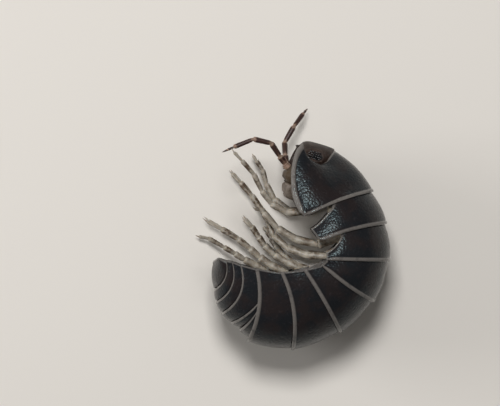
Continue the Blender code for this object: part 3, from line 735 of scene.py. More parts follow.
def plate_mesh(plate, settings):
    """Points, faces and rim attribute of one plate."""
    share, zero = plate.share, np.zeros_like(plate.share)
    thick = settings.thickness / MM
    front_line, rear_line = plate.front(share, zero), plate.rear(share, zero)
    span = np.linalg.norm(rear_line - front_line, axis=1)
    rise, spread = arch(share)
    steps = np.linalg.norm(np.diff((front_line + rear_line) / 2, axis=0), axis=1)
    arc = np.concatenate([[0.0], np.cumsum(steps)])
    edge = np.minimum(arc, arc[-1] - arc)
    start, end = (
        np.minimum(radius - np.sqrt(radius**2 - np.maximum(radius - edge, 0) ** 2), CORNER_SHARE * span)
        for radius in plate.rounds)
    length = np.maximum(span - start - end, LEAST_LENGTH)
    squeeze = np.minimum(1.0, length / FULL_LENGTH)
    lip = settings.rim_height / MM * plate.rim_scale
    side_bead = bell((edge - SIDE_BEAD_AT) / SIDE_BEAD_WIDTH) * SIDE_BEAD_HEIGHT * lip
    # A pale band along the side edge, partly its own colour and partly a painted highlight
    side_paleness_and_highlight = SIDE_PALENESS_AND_HIGHLIGHT * (1 - smooth((edge - SIDE_COLOUR_FROM) / SIDE_COLOUR_OVER))

    def surface(along, depth):
        inside = np.maximum(along, 0)[:, None]
        points = plate.front(share, depth) * (1 - inside) + plate.rear(share, depth) * inside
        points[:, :2] += plate.headward * (np.maximum(-along, 0) * span)[:, None]
        middle = np.sin(np.pi * np.clip(along, 0, 1))
        swell = plate.crown * middle
        points[:, :2] += plate.up * (rise * swell)[:, None]
        fuller = plate.bulge * bell((np.abs(share) - BULGE_AT) / BULGE_WIDTH) * middle**BULGE_POWER
        points[:, 2] += np.sign(share) * (0.5 * spread * swell + fuller)
        return points

    levels = np.linspace(0, 1, SMOOTHING_LEVELS)
    shifts = smoothing_shifts(np.stack([surface(zero + level, zero) for level in levels]), plate.smoothings)
    shifts *= smooth((np.abs(share) - SMOOTHED_FROM) / SMOOTHED_OVER)[None, :, None]
    rings, rims = [], []
    # The taper closes each side edge in a half round
    taper = np.sqrt(np.maximum(1 - np.square(np.maximum(1 - edge / (thick / 2), 0)), 0))
    column = np.arange(len(share))
    for at, depth, rim in section_stops(plate, settings, start, length, squeeze):
        depth = depth - side_bead * (depth < 0.5 * thick)
        depth = thick / 2 + (depth - thick / 2) * taper
        along = at / np.maximum(span, 1e-6)
        place = np.clip(along, 0, 1) * (len(levels) - 1)
        below = np.minimum(place.astype(int), len(levels) - 2)
        part = (place - below)[:, None]
        shift = shifts[below, column] * (1 - part) + shifts[below + 1, column] * part
        rings.append(surface(along, depth) + shift)
        rims.append(np.maximum(rim, side_paleness_and_highlight))
    columns = len(share)
    faces = ring_faces(len(rings), columns, closed_rows=True, closed_columns=False)
    ends = [[row * columns + column for row in range(len(rings))] for column in (0, columns - 1)]
    return np.concatenate(rings), faces + ends, np.concatenate(rims)


def add_plate(name, settings, *shape, **more):
    """One finished plate, its shape given as Plate lists it."""
    material = bpy.data.materials.get("calcified_cuticle") or calcified_cuticle(settings)
    points, faces, rim = plate_mesh(Plate(*shape, **more), settings)
    fit_in(make_object(f"shell_{name}", points, faces, material, {"rim": rim}), [name])


class WOODLOUSE_OT_plates(bpy.types.Operator):
    """Builds the seven body plates and the five of the hind body"""

    bl_idname = "woodlouse.plates"
    bl_label = "Plates"

    def execute(self, context):
        settings = context.scene.woodlouse_shell
        share = mirrored_shares(FIRST_RUNS)
        first = "pereonite_1"
        axes = rim_axes(RIMS[first])
        bead = FIRST_BEAD + LOBE_BEAD_ADDS * smooth((np.abs(share) - LOBE_BEAD_FROM) / LOBE_BEAD_OVER)
        add_plate(
            first, settings, share, first_front_points, partial(rim_points, RIMS[first]),
            (direction(FIRST_FRONT_FACES) + axes.up) / 2, axes.headward, CROWN[first], tucked=0.0, bead=bead,
            rounds=CORNER_ROUNDS[first], rows=FIRST_ROWS, smoothings=FIRST_SMOOTHINGS, bulge=FIRST_BULGE)
        share = mirrored_shares(USUAL_RUNS)
        names = list(RIMS)
        for previous, name in zip(names, names[1:]):
            if name == "pleonite_3":
                continue
            tucked = 1.0
            if name in FRONT_CORNERS:
                tucked = 1 - smooth((np.abs(share) - FRONT_CORNERS[name][2] - FREE_PAST) / FREE_OVER)
            hind = name.startswith("pleonite")
            add_plate(
                name, settings, share, partial(front_points, name, previous), partial(rim_points, RIMS[name]),
                rim_axes(RIMS[name]).up, rim_axes(RIMS[previous]).headward,
                PLEON_CROWN if hind else CROWN.get(name, USUAL_CROWN), tucked=tucked, bead=FREE_BEAD,
                rounds=CORNER_ROUNDS.get(name, USUAL_ROUNDS), rim_scale=HIND_RIM if hind else 1.0)
        self.add_hind_plates(settings, share)
        return {"FINISHED"}

    def add_hind_plates(self, settings, share):
        """The hind body's two short plates, and the third plate, whose front follows theirs."""
        seventh, third = RIMS["pereonite_7"], RIMS["pleonite_3"]
        axes = rim_axes(seventh)

        def short_front(before, share, inset):
            shallow, deep = SHORT_FRONT_DEPTHS
            if before is None:
                points = rim_points(seventh, share, inset + shallow)
            else:
                points = short_rim_points(before, share, inset + deep, SHORT_HIDDEN)
            return behind(points, seventh, -SHORT_TUCK)

        def short_rear(name, share, inset):
            return short_rim_points(name, share, inset + SHORT_REAR_DEPTH, SHORT_HIDDEN)

        def third_front(share, inset):
            points = short_rim_points("pleonite_2", share, inset + THIRD_FRONT_DEPTH)
            return behind(points, seventh, PLATE_CUT)

        for before, name in zip((None, *SHORT_RIMS), SHORT_RIMS):
            reach = SHORT_GOES_ON * SHORT_RIMS[name].reach
            add_plate(
                name, settings, np.linspace(-reach, reach, SHORT_COLUMNS), partial(short_front, before),
                partial(short_rear, name), axes.up, axes.headward, PLEON_CROWN, tucked=SHORT_TUCKED,
                rounds=NO_ROUNDS, rim_scale=HIND_RIM, rows=SHORT_ROWS)
        add_plate("pleonite_3", settings, share, third_front, partial(rim_points, third), rim_axes(third).up,
                  axes.headward, PLEON_CROWN, rim_scale=HIND_RIM)


class WOODLOUSE_OT_tail(bpy.types.Operator):
    """Builds the tail plate and the uropods beside it"""

    bl_idname = "woodlouse.tail"
    bl_label = "Tail"

    def execute(self, context):
        settings = context.scene.woodlouse_shell
        last = RIMS["pleonite_5"]

        def edge(share, inset):
            return behind(rim_points(last, share, inset + PLATE_STEP), last, PLATE_CUT)

        def drawn_in(points, share, inset):
            inset = np.broadcast_to(inset, share.shape)
            points[:, 0] += inset
            points[:, 2] -= np.sign(share) * TAIL_TIPS_NARROW * inset * arch(share)[1]
            return points

        def telson_tip(share, inset):
            x, y, half = TELSON_TIP
            points = np.column_stack([0 * share + x, 0 * share + y, half * share / TELSON_SHARE])
            return drawn_in(points, share, inset)

        def uropod_tip(sign, share, inset):
            part = ((np.abs(share) - UROPOD_SHARE) / (1 - UROPOD_SHARE))[:, None]
            points = np.array(UROPOD_INNER_TIP) * (1 - part) + np.array(UROPOD_OUTER_TIP) * part
            return drawn_in(points * (1, 1, sign), share, inset)

        plates = (
            ("telson", np.linspace(-TELSON_SHARE, TELSON_SHARE, 31), telson_tip),
            ("uropod_left", UROPOD_SHARES, partial(uropod_tip, 1)),
            ("uropod_right", -UROPOD_SHARES, partial(uropod_tip, -1)),
        )
        for name, share, tip in plates:
            add_plate(name, settings, share, edge, tip, direction(TAIL_SWELLS), rim_axes(last).headward,
                      TAIL_CROWN, rounds=NO_ROUNDS, rim_scale=HIND_RIM, rows=SHORT_ROWS)
        return {"FINISHED"}


def head_points(forward, down, z):
    """Points of the head, from its own axes."""
    front, below = direction(HEAD_FORWARD), direction(HEAD_FORWARD + 90)
    flat = HEAD_ORIGIN + forward[..., None] * front + down[..., None] * below
    return np.concatenate([flat, z[..., None]], axis=-1)


def level_mesh(levels, relief_of, rows, sides):
    """Points and faces of a tube through the given levels, and where on the head each point lies."""
    down, front, rear, half = spline(levels, np.linspace(0, len(levels) - 1, rows)).T
    angle = turns(sides)
    round_way = np.array([np.cos(angle), np.sin(angle)])
    along, across = np.sign(round_way) * np.abs(round_way) ** HEAD_SQUARENESS
    forward = ((front + rear) / 2)[:, None] + ((front - rear) / 2)[:, None] * along
    z = half[:, None] * across
    down = np.broadcast_to(down[:, None], forward.shape)
    relief = relief_of(forward, down, np.abs(z))
    points = head_points(forward + relief * np.cos(angle), down, z + relief * np.sin(angle))
    return points.reshape(-1, 3), tube_faces(rows, sides), (forward, down, np.abs(z))


def line_relief(line, side, down):
    """How far a line across the face stands out."""
    fade = 1 - smooth((side - line.until) / line.fades)
    return line.height * bell((down - line.down - line.slope * side) / line.width) * fade


def head_relief(forward, down, side):
    """How far each point of the head stands out from its smooth form."""
    relief = sum(line_relief(line, side, down) for line in FACE_LINES)
    for knob in FACE_KNOBS:
        distance = np.hypot((side - knob.side) / knob.wide, (down - knob.down) / knob.deep)
        relief = relief + knob.height * bell(distance)
    socket = FACE_KNOBS[1]
    ring = np.hypot(side - socket.side, down - socket.down) - SOCKET_RING
    relief += SOCKET_RING_HEIGHT * bell(ring / SOCKET_RING_WIDTH)
    # Beside the shield lies the groove for the folded feeler
    shield_half = SHIELD_HALF * np.clip(1 - (down - SHIELD_TOP) / SHIELD_DEPTH, 0, 1)
    shield = smooth((shield_half - side) / 0.07 + 0.5) * smooth((down - SHIELD_TOP + 0.06) / 0.08)
    groove = bell((side - shield_half - 0.17) / 0.12) * smooth((down - 0.52) / 0.12)
    relief += SHIELD_HEIGHT * shield - FEELER_GROOVE * groove * (1 - smooth((down - 1.25) / 0.15))
    # The lip lies in the middle with a groove round it, and the jaws part below it
    lip_distance = np.hypot(side / LIP_HALF, (down - LIP_DOWN) / LIP_DEPTH)
    relief += LIP_HEIGHT * smooth((1.15 - lip_distance) / 0.60)
    relief -= LIP_GROOVE * bell((lip_distance - 1.30) / 0.14)
    relief -= JAW_GROOVE * bell(side / 0.035) * smooth((down - 1.97) / 0.04)
    # A brow runs back from the shield's corner over the eye, and the eye has a raised edge
    brow = bell((down - 0.42 - 0.22 * (side - 0.62)) / 0.06) * smooth((side - 0.62) / 0.08)
    eye = np.hypot((forward - EYE_FORWARD) / (EYE_LENGTH / 2), (down - EYE_DEPTH) / (EYE_HEIGHT / 2))
    orbit = ORBIT_HEIGHT * bell((eye - 1.22) / 0.2) - EYE_SINKS * bell(eye / 0.8)
    nape = NAPE_GROOVE * bell((forward + 0.30) / 0.06) * (1 - smooth((down - 0.3) / 0.2))
    face, temple = smooth((forward - 0.45) / 0.25), smooth((forward - 0.10) / 0.2)
    return relief * face + BROW_HEIGHT * brow * temple + orbit * smooth((side - 0.9) / 0.2) - nape


def jaw_foot_relief(forward, down, side):
    """How far each point of the jaw feet stands out: two lobes, with a small palp at each one's tip."""
    relief = sum(height * bell((side - at) / width) for at, width, height in JAW_FOOT_LINES)
    return (relief + line_relief(PALP_LINE, side, down)) * smooth((forward - 0.5) / 0.3)


def new_tree(name, **inputs):
    """A node tree that takes a geometry and named inputs, and its input node's sockets."""
    tree = bpy.data.node_groups.new(name, "GeometryNodeTree")
    for way in ("INPUT", "OUTPUT"):
        tree.interface.new_socket("Geometry", in_out=way, socket_type="NodeSocketGeometry")
    for key, kind in inputs.items():
        label = key.replace("_", " ").title()
        tree.interface.new_socket(label, in_out="INPUT", socket_type=f"NodeSocket{kind}")
    return tree, tree.nodes.new("NodeGroupInput").outputs


def beads_tree():
    """A node tree that sets a bead on each point marked as one's place, and keeps the bed below."""
    tree, source = new_tree("eye_beads", bead_diameter="Float", material="Material")
    here = add_node(tree, "GeometryNodeInputNamedAttribute", {"Name": "bead"}, data_type="FLOAT")
    sites = add_node(tree, "GeometryNodeSeparateGeometry", {
        "Geometry": source["Geometry"], "Selection": here})
    radius = add_node(tree, "ShaderNodeMath", {0: source["Bead Diameter"], 1: 0.5}, operation="MULTIPLY")
    bead = add_node(tree, "GeometryNodeMeshIcoSphere", {"Radius": radius, "Subdivisions": 3})
    placed = add_node(tree, "GeometryNodeInstanceOnPoints", {"Points": sites, "Instance": bead})
    real = add_node(tree, "GeometryNodeRealizeInstances", {"Geometry": placed})
    joined = add_node(tree, "GeometryNodeJoinGeometry", {"Geometry": [real, sites.node.outputs["Inverted"]]})
    rounded = add_node(tree, "GeometryNodeSetShadeSmooth", {"Geometry": joined})
    done = add_node(tree, "GeometryNodeSetMaterial", {"Geometry": rounded, "Material": source["Material"]})
    add_node(tree, "NodeGroupOutput", {"Geometry": done})
    return tree


def bristles_tree():
    """A node tree that grows small leaning bristles on a limb, the more the more its bristle attribute says.

    Crowding is how many stand on a square millimetre.
    """
    tree, source = new_tree(
        "limb_bristles", crowding="Float", length="Float", thickness="Float", lean="Float", seed="Int",
        material="Material")
    wanted = add_node(tree, "GeometryNodeInputNamedAttribute", {"Name": "bristle"}, data_type="FLOAT")
    tipward = add_node(tree, "GeometryNodeInputNamedAttribute", {"Name": "tipward"}, data_type="FLOAT_VECTOR")
    per_square_metre = add_node(tree, "ShaderNodeMath", {
        0: source["Crowding"], 1: 1 / MM**2}, operation="MULTIPLY")
    crowd = add_node(tree, "ShaderNodeMath", {0: per_square_metre, 1: wanted}, operation="MULTIPLY")
    roots = add_node(tree, "GeometryNodeDistributePointsOnFaces", {
        "Mesh": source["Geometry"], "Density": crowd, "Seed": source["Seed"]}, distribute_method="RANDOM")
    lean = {0: source["Lean"], 4: roots.node.outputs["Normal"], 5: tipward}
    way = add_node(tree, "ShaderNodeMix", lean, output=1, data_type="VECTOR")
    turned = add_node(tree, "FunctionNodeAlignRotationToVector", {"Vector": way}, axis="Z")
    cone = add_node(tree, "GeometryNodeMeshCone", {
        "Vertices": 5, "Side Segments": 1, "Radius Top": 0.0, "Radius Bottom": source["Thickness"],
        "Depth": source["Length"]}, fill_type="TRIANGLE_FAN")
    size = add_node(tree, "FunctionNodeRandomValue", {
        2: 0.55, 3: 1.2, "Seed": source["Seed"]}, output=1, data_type="FLOAT")
    placed = add_node(tree, "GeometryNodeInstanceOnPoints", {
        "Points": roots, "Instance": cone, "Rotation": turned, "Scale": size})
    real = add_node(tree, "GeometryNodeRealizeInstances", {"Geometry": placed})
    painted = add_node(tree, "GeometryNodeSetMaterial", {"Geometry": real, "Material": source["Material"]})
    joined = add_node(tree, "GeometryNodeJoinGeometry", {"Geometry": [painted, source["Geometry"]]})
    add_node(tree, "NodeGroupOutput", {"Geometry": joined})
    return tree


def grow(piece, tree, **values):
    """Runs a node tree on a piece with these inputs, and leaves its result as a plain mesh."""
    modifier = piece.modifiers.new(tree.name, "NODES")
    modifier.node_group = tree
    for item in tree.interface.items_tree:
        key = item.name.lower().replace(" ", "_")
        if item.in_out == "INPUT" and key in values:
            modifier[item.identifier] = values[key]
    seen = piece.evaluated_get(bpy.context.evaluated_depsgraph_get())
    mesh = bpy.data.meshes.new_from_object(seen)
    piece.modifiers.clear()
    piece.data = mesh


class WOODLOUSE_OT_head(bpy.types.Operator):
    """Builds the head, its beaded eyes and its mouthparts"""

    bl_idname = "woodlouse.head"
    bl_label = "Head"

    def execute(self, context):
        settings = context.scene.woodlouse_head
        points, faces, (forward, down, side) = level_mesh(HEAD_LEVELS, head_relief, rows=132, sides=144)
        jaw_tip = FACE_KNOBS[3]
        dark = bell(np.hypot((side - jaw_tip.side + 0.01) / 0.16, (down - jaw_tip.down) / 0.12))
        marks = {
            "mouth": (smooth((down - 1.25) / 0.25) * smooth((forward - 0.2) / 0.3)).ravel(),
            "jaw_tip": (dark * smooth((forward - 0.5) / 0.2)).ravel(),
        }
        capsule = make_object("head_capsule", points, faces, head_cuticle(settings), marks)
        fit_in(capsule, ["head"])
        # Leathery cuticle, grey and matt
        leathery = plain_finish(
            "leathery_cuticle", linear("#6d6258"), linear("#4c4238"), cloud_size=0.2, bump_size=0.05,
            bump_depth=0.008, roughness=0.5)
        points, faces, _ = level_mesh(JAW_FOOT_LEVELS, jaw_foot_relief, rows=40, sides=72)
        fit_in(make_object("jaw_feet", points, faces, leathery), ["mouthparts"])
        self.add_eyes(settings)
        return {"FINISHED"}

    def add_eyes(self, settings):
        """Each eye, a patch of black beads in rows on a low bed."""
        # Clear lens over dark pigment: black, and as glossy as wet glass
        lens = plain_finish(
            "black_lens", linear("#08080a"), linear("#0f0e12"), cloud_size=0.2, bump_size=0.05,
            bump_depth=0.0005, roughness=0.10, coat=0.5)
        tree = beads_tree()
        depths, _, _, halves = zip(*HEAD_LEVELS)
        rings, sides = 10, 40
        angle = turns(sides)
        pitch = settings.bead_size / MM * BEAD_PITCH
        sites = np.array([
            ((column - (count - 1) / 2) * pitch, (row - (len(EYE_ROWS) - 1) / 2) * ROW_PITCH * pitch)
            for row, count in enumerate(EYE_ROWS) for column in range(count)])
        crown = 1 - np.square(sites / (EYE_LENGTH / 2, EYE_HEIGHT / 2)).sum(axis=1)
        rows = []
        for turn in np.linspace(0, math.pi / 2, rings):
            half = max(math.cos(turn), 0.02) / 2
            lift = BED_FOOT + BED_RISE * math.sin(turn)
            rows.append((EYE_LENGTH * half * np.cos(angle), EYE_HEIGHT * half * np.sin(angle), lift))
        rows.append((*sites.T, BEADS_FOOT + BEADS_RISE * np.sqrt(np.maximum(crown, 0))))
        for side, sign in (("left", 1), ("right", -1)):
            points = []
            for forward, down, lift in rows:
                half = np.interp(down + EYE_DEPTH, depths, halves) + lift
                points.append(head_points(forward + EYE_FORWARD, down + EYE_DEPTH, sign * half))
            points = np.concatenate(points)
            beads = np.arange(len(points)) >= len(points) - len(sites)
            piece = make_object(f"eye_beads_{side}", points, tube_faces(rings, sides), lens, {"bead": beads})
            grow(piece, tree, bead_diameter=settings.bead_size, material=lens)
            fit_in(piece, [f"eye_{side}"])


def walk(start, steps, sign):
    """The joints of a limb, from its first point and each article's length, heading and rise."""
    joints = [np.array(start, float)]
    for length, heading, rise in steps:
        level, out = math.cos(math.radians(rise)) * length, math.sin(math.radians(rise)) * length
        joints.append(joints[-1] + np.array([*(direction(heading) * level), sign * out]))
    return joints


def article_stops(articles, k):
    """Where an article's rings lie and how wide they are."""
    if k == len(articles) - 1:
        return CLAW
    if articles[k].jointed:
        start = JOINT_NECK
    else:
        start = BLENDED_START if k else BURIED_ROOT
    return start + SWELLING + (JOINT_COLLAR if articles[k + 1].jointed else BLENDED_END)


def limb_mesh(joints, articles, sides=16):
    """Points, faces and attributes of a jointed limb.

    Each article starts in a narrow neck, swells, and ends in a collar round the next one's neck.
    """
    ways = [(b - a) / np.linalg.norm(b - a) for a, b in zip(joints, joints[1:])]
    angle = turns(sides)
    # Brown lies on the sides more than along the top and underside, whose paler band is a painted highlight,
    # and bristles stand where a limb faces forwards
    dark_sides_highlit_top = 0.55 + 0.45 * smooth((np.abs(np.cos(angle)) - 0.1) / 0.5)
    bristly = 0.25 + 0.75 * (np.cos(angle) > 0.2)
    rings, marks, bristles, tipwards = [], [], [], []
    for k, article in enumerate(articles):
        before, after = ways[max(k - 1, 0)], ways[min(k + 1, len(articles) - 1)]
        for part, swell in article_stops(articles, k):
            way = ways[k] + before * 0.5 * max(0, 1 - part / BENDS_OVER)
            way = way + after * 0.5 * max(0, (part - 1 + BENDS_OVER) / BENDS_OVER)
            way = way / np.linalg.norm(way)
            across = np.cross(way, [0.0, 0.0, 1.0])
            across /= np.linalg.norm(across)
            upward = np.cross(across, way)
            centre = joints[k] + (joints[k + 1] - joints[k]) * part
            radius = article.radius * swell
            if not article.jointed and k and part < BLENDS_OVER:
                own = part / BLENDS_OVER
                radius = radius * own + articles[k - 1].radius * (1 - own)
            spokes = np.cos(angle)[:, None] * across + np.sin(angle)[:, None] * upward * article.flat
            rings.append(centre + spokes * radius)
            # The joints stay pale, and the marks are strongest past the middle
            band = smooth((part - 0.06) / 0.12) * (1 - 0.9 * smooth((part - 0.84) / 0.08))
            marks.append(article.mark * dark_sides_highlit_top * band * (0.45 + 0.55 * bell((part - 0.62) / 0.25)))
            bristles.append(article.bristle * smooth((part - 0.2) / 0.2) * bristly)
            tipwards.append(np.tile(way, (sides, 1)))
    columns = {"mark": marks, "bristle": bristles, "tipward": tipwards}
    attributes = {key: np.concatenate(values) for key, values in columns.items()}
    return np.concatenate(rings), tube_faces(len(rings), sides), attributes


def add_limb(name, joints, articles, cuticle, tree, **hairs):
    """One limb with its bristles."""
    points, faces, attributes = limb_mesh(joints, articles)
    piece = make_object(name, points, faces, cuticle, attributes)
    grow(piece, tree, **hairs)
    return piece


class WOODLOUSE_OT_legs(bpy.types.Operator):
    """Builds the seven pairs of legs with their bristles"""

    bl_idname = "woodlouse.legs"
    bl_label = "Legs"

    def execute(self, context):
        settings = context.scene.woodlouse_limb
        cuticle = leg_cuticle(
            "leg_cuticle", settings.leg_colour, settings.mark_colour, strength=0.9, patches=0.75)
        # Bristles are the same cuticle, darker and stiff
        bristle = plain_finish(
            "leg_bristle", linear("#6b5a48"), linear("#4a3a2c"), cloud_size=0.1, bump_size=0.02,
            bump_depth=0.0005, roughness=0.4)
        tree = bristles_tree()
        for side, sign, legs in (("left", 1, LEFT_LEGS), ("right", -1, RIGHT_LEGS)):
            for number, leg in enumerate(legs, 1):
                rises = [leg.rise + leg.curl * k for k in range(len(leg.lengths))]
                steps = list(zip(leg.lengths, leg.headings, rises))
                foot, heading, rise = steps.pop()
                steps.append((foot * FOOT_SHARE, heading + FOOT_TURN, rise))
                steps.append((foot * (1 - FOOT_SHARE), heading + CLAW_TURN, rise))
                piece = add_limb(
                    f"walking_leg_{side}_{number}", walk((leg.x, leg.y, sign * leg.z), steps, sign),
                    LEG_ARTICLES, cuticle, tree, crowding=34.0, length=settings.bristle_length,
                    thickness=0.0075 * MM, lean=0.62, seed=number + 10 * (sign + 1), material=bristle)
                fit_in(piece, [f"leg_{side}_{number}"])
        return {"FINISHED"}


class WOODLOUSE_OT_feelers(bpy.types.Operator):
    """Builds the two long feelers"""

    bl_idname = "woodlouse.feelers"
    bl_label = "Feelers"

    def execute(self, context):
        settings = context.scene.woodlouse_limb
        cuticle = leg_cuticle(
            "feeler_cuticle", linear("#8d7465"), settings.feeler_colour, strength=1.0, patches=0.15)
        # Fine hairs are the same cuticle, paler where they are thin
        hair = plain_finish(
            "feeler_hair", linear("#6a4a3a"), linear("#4a3028"), cloud_size=0.1, bump_size=0.02,
            bump_depth=0.0005, roughness=0.45)
        tree = bristles_tree()
        x, y, z = FEELER_ROOT
        for side, sign, steps in (("left", 1, LEFT_FEELER), ("right", -1, RIGHT_FEELER)):
            piece = add_limb(
                f"feeler_{side}", walk((x, y, sign * z), steps, sign), FEELER_ARTICLES, cuticle, tree,
                crowding=90.0, length=settings.hair_length, thickness=0.004 * MM, lean=0.7, seed=5 + sign,
                material=hair)
            fit_in(piece, [f"antenna_{side}"])
        return {"FINISHED"}


class WOODLOUSE_OT_underside(bpy.types.Operator):
    """Builds the one skin of the soft underside, and the gill plates under the hind body"""

    bl_idname = "woodlouse.underside"
    bl_label = "Underside"

    def execute(self, context):
        # Soft membrane between the legs: pale, moist and finely creased
        skin = plain_finish(
            "soft_membrane", linear("#a09886"), linear("#857a68"), cloud_size=0.5, bump_size=0.06,
            bump_depth=0.010, roughness=0.36)
        depth = SOLID_PLATE + PLATE_STEP + PLATE_CUT
        last_share = math.acos((1 - BELLY_SHARE) ** (1 / ARCH_POWER)) * 2 / math.pi
        share = np.linspace(-last_share, last_share, BELLY_SHARES)
        parts = np.arange(1, BELLY_COLUMNS + 1)[:, None] / (BELLY_COLUMNS + 1)
        rims = (NECK, *RIMS.values())
        rings = []
        for rim in rims:
            ring = rim_points(rim, share, depth + TAIL_NARROWS * (rim is rims[-1]))
            rings.append(np.concatenate([ring, ring[-1] * (1 - parts) + ring[0] * parts]))
        places = np.linspace(0, len(rings) - 1, BELLY_ROWS)
        grid = spline(rings, places)
        ups = spline([rim_axes(rim).up for rim in rims], places)
        belly = slice(len(share), None)
        width = np.abs(grid[:, belly, 2]) / np.abs(grid[:, :1, 2])
        # Each segment's plate is flat, with a groove before the next
        to_edge = 0.5 - np.abs(places[:, None] % 1 - 0.5)
        plate = smooth(to_edge / 0.16)
        hip = smooth(to_edge / 0.35) * bell((width - HIPS_AT) / 0.13)
        dip = GROOVE_DEPTH * (1 - plate) * (1 - 0.5 * bell(width / 0.1)) - HIP_HEIGHT * hip
        dip = dip + FURROW_DEPTH * bell(width / 0.05) + FOLD_DEPTH * bell((to_edge - 0.30) / 0.05)
        dip = dip * smooth(places[:, None]) * smooth((len(rings) - 1 - places[:, None]) / 0.6)
        grid[:, belly, :2] += ups[:, None] * dip[..., None]
        faces = tube_faces(BELLY_ROWS, grid.shape[1])
        fit_in(make_object("soft_skin", grid.reshape(-1, 3), faces, skin), ["soft_body"])
        self.add_gill_plates()
        return {"FINISHED"}

    def add_gill_plates(self):
        """Pairs of thin plates that overlap like shingles under the hind body."""
        # Thin moist plates, milky where the air sacs lie
        material, tree, place = new_material("gill_plate")
        spots = add_node(tree, "ShaderNodeAttribute", output="Fac", attribute_name="air")
        body = laid_over(tree, linear("#8b8272"), linear("#6c6354"), clouded(tree, place, 0.3, 0.35, 0.7))
        colour = laid_over(tree, body, linear("#e4e0d4"), spots)
        finish(tree, place, colour, ((0.05, 2.0, 0.005),), {"Roughness": 0.3})
        rows, sides = 18, 28
        angle = turns(sides)
        points, faces, air = [], [], []
        for number in range(GILL_PAIRS):
            base = GILLS_FROM + (GILLS_TO - GILLS_FROM) * number / (GILL_PAIRS - 1)
            way = direction(GILLS_HEADING + GILLS_FAN * number)
            out = np.array([way[1], -way[0]])
            half, reach = GILL_HALF - GILL_SHRINKS * number, GILL_REACH - GILL_SHRINKS * number
            milky = 0.9 * (number < GILL_PAIRS_WITH_AIR)
            for sign in (1, -1):
                for part in np.linspace(0, 1, rows):
                    round_end = math.sqrt(max(1 - max(0, (part - 0.5) / 0.5) ** 2, 0.0))
                    round_start = math.sqrt(max(1 - max(0, (0.12 - part) / 0.12) ** 2, 0.0))
                    narrow = max(min(round_end, round_start), 0.03)
                    across = half * narrow * (0.86 + 0.14 * math.sin(math.pi * part)) * np.cos(angle)
                    up = GILL_THICKNESS * np.sin(angle) + 0.05 * (1 - np.square(across / half))
                    flat = base + way * reach * part + (up * narrow)[:, None] * out
                    points.append(np.column_stack([flat, sign * (half + 0.05 + 0.06 * part) + across]))
                    spot = bell(np.hypot((part - 0.55) / 0.22, (sign * across / half - 0.25) / 0.5))
                    air.append(spot * milky * (np.sin(angle) > -0.2))
                faces += tube_faces(rows, sides, (len(points) - rows) * sides)
        piece = make_object(
            "gill_plates", np.concatenate(points), faces, material, {"air": np.concatenate(air)})
        fit_in(piece, ["soft_body"])


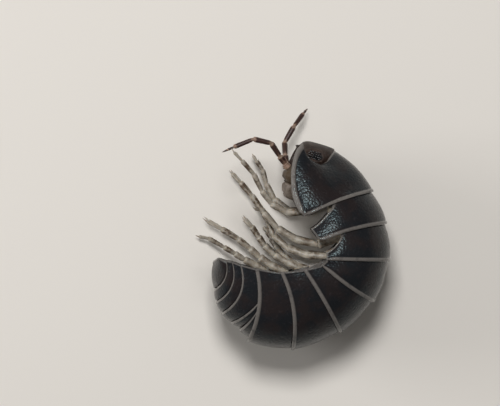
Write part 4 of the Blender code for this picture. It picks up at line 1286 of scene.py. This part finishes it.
class WOODLOUSE_OT_stage(bpy.types.Operator):
    """Adds the floor, the soft studio lights and the camera"""

    bl_idname = "woodlouse.stage"
    bl_label = "Stage"

    def execute(self, context):
        settings = context.scene.woodlouse_stage
        mesh = bpy.data.meshes.new("floor")
        corners = [(x * FLOOR_REACH, y * FLOOR_REACH, 0) for x, y in ((-1, -1), (1, -1), (1, 1), (-1, 1))]
        mesh.from_pydata(corners, [], [(0, 1, 2, 3)])
        # Matt board: even and without gloss
        mesh.materials.append(plain_finish(
            "matt_board", settings.floor_colour, settings.floor_colour, cloud_size=2.0, bump_size=0.3,
            bump_depth=0.002, roughness=0.8))
        floor = bpy.data.objects.new("floor", mesh)
        context.scene.collection.objects.link(floor)
        for name, (place, size, power) in LIGHTS.items():
            self.add_light(context, name, place, size, power * settings.key_power)
        world = bpy.data.worlds.new("studio")
        world.use_nodes = True
        sky = world.node_tree.nodes["Background"].inputs
        sky["Color"].default_value = linear("#f4f2ef")
        sky["Strength"].default_value = SKY_STRENGTH
        context.scene.world = world
        context.scene.view_settings.view_transform = "Standard"
        self.add_camera(context, settings)
        return {"FINISHED"}

    def add_light(self, context, name, place, size, power):
        """A square soft light aimed at the animal."""
        data = bpy.data.lights.new(name, "AREA")
        data.shape = "SQUARE"
        data.size = size
        data.energy = power
        light = bpy.data.objects.new(name, data)
        light.location = place
        aim = Vector(CURL_CENTRE * MM) - light.location
        light.rotation_euler = aim.to_track_quat("-Z", "Y").to_euler()
        context.scene.collection.objects.link(light)

    def add_camera(self, context, settings):
        """A long lens straight above, which frames the floor as the picture does."""
        data = bpy.data.cameras.new("camera")
        data.sensor_width = SENSOR_WIDTH
        distance = settings.camera_height - CURL_CENTRE[2] * MM
        data.lens = data.sensor_width * distance / (PICTURE_WIDTH * PIXEL * MM)
        data.clip_start, data.clip_end = 0.01, 5.0
        camera = bpy.data.objects.new("camera", data)
        right = (PICTURE_WIDTH / 2 - CURL_PIXEL[0]) * PIXEL
        up = (CURL_PIXEL[1] - PICTURE_HEIGHT / 2) * PIXEL
        x, y = (CURL_CENTRE[:2] + (right, up)) * MM
        camera.location = (x, y, settings.camera_height)
        context.scene.collection.objects.link(camera)
        context.scene.camera = camera


class WOODLOUSE_PT_panel(bpy.types.Panel):
    """Lists the pieces of the woodlouse and their settings"""

    bl_idname = "WOODLOUSE_PT_panel"
    bl_label = "Pill Woodlouse"
    bl_space_type = "VIEW_3D"
    bl_region_type = "UI"
    bl_category = "Woodlouse"

    def draw(self, context):
        for operator in OPERATORS:
            self.layout.operator(operator.bl_idname)
        for name, settings in SETTINGS.items():
            box = self.layout.box()
            for key in settings.__annotations__:
                box.prop(getattr(context.scene, name), key)


SETTINGS = {
    "woodlouse_shell": ShellSettings,
    "woodlouse_limb": LimbSettings,
    "woodlouse_head": HeadSettings,
    "woodlouse_stage": StageSettings,
}
OPERATORS = (
    WOODLOUSE_OT_stage, WOODLOUSE_OT_plates, WOODLOUSE_OT_tail, WOODLOUSE_OT_head, WOODLOUSE_OT_feelers,
    WOODLOUSE_OT_legs, WOODLOUSE_OT_underside,
)
CLASSES = (*SETTINGS.values(), *OPERATORS, WOODLOUSE_PT_panel)


def register():
    """Makes the classes known to Blender, and hangs the settings on the scene."""
    for each in CLASSES:
        bpy.utils.register_class(each)
    for name, settings in SETTINGS.items():
        setattr(bpy.types.Scene, name, bpy.props.PointerProperty(type=settings))


def unregister():
    """Takes the settings and the classes away again."""
    for name in SETTINGS:
        delattr(bpy.types.Scene, name)
    for each in reversed(CLASSES):
        bpy.utils.unregister_class(each)


def main():
    """Builds every piece."""
    register()
    bpy.ops.woodlouse.stage()
    bpy.ops.woodlouse.plates()
    bpy.ops.woodlouse.tail()
    bpy.ops.woodlouse.head()
    bpy.ops.woodlouse.feelers()
    bpy.ops.woodlouse.legs()
    bpy.ops.woodlouse.underside()


if __name__ == "__main__":
    main()
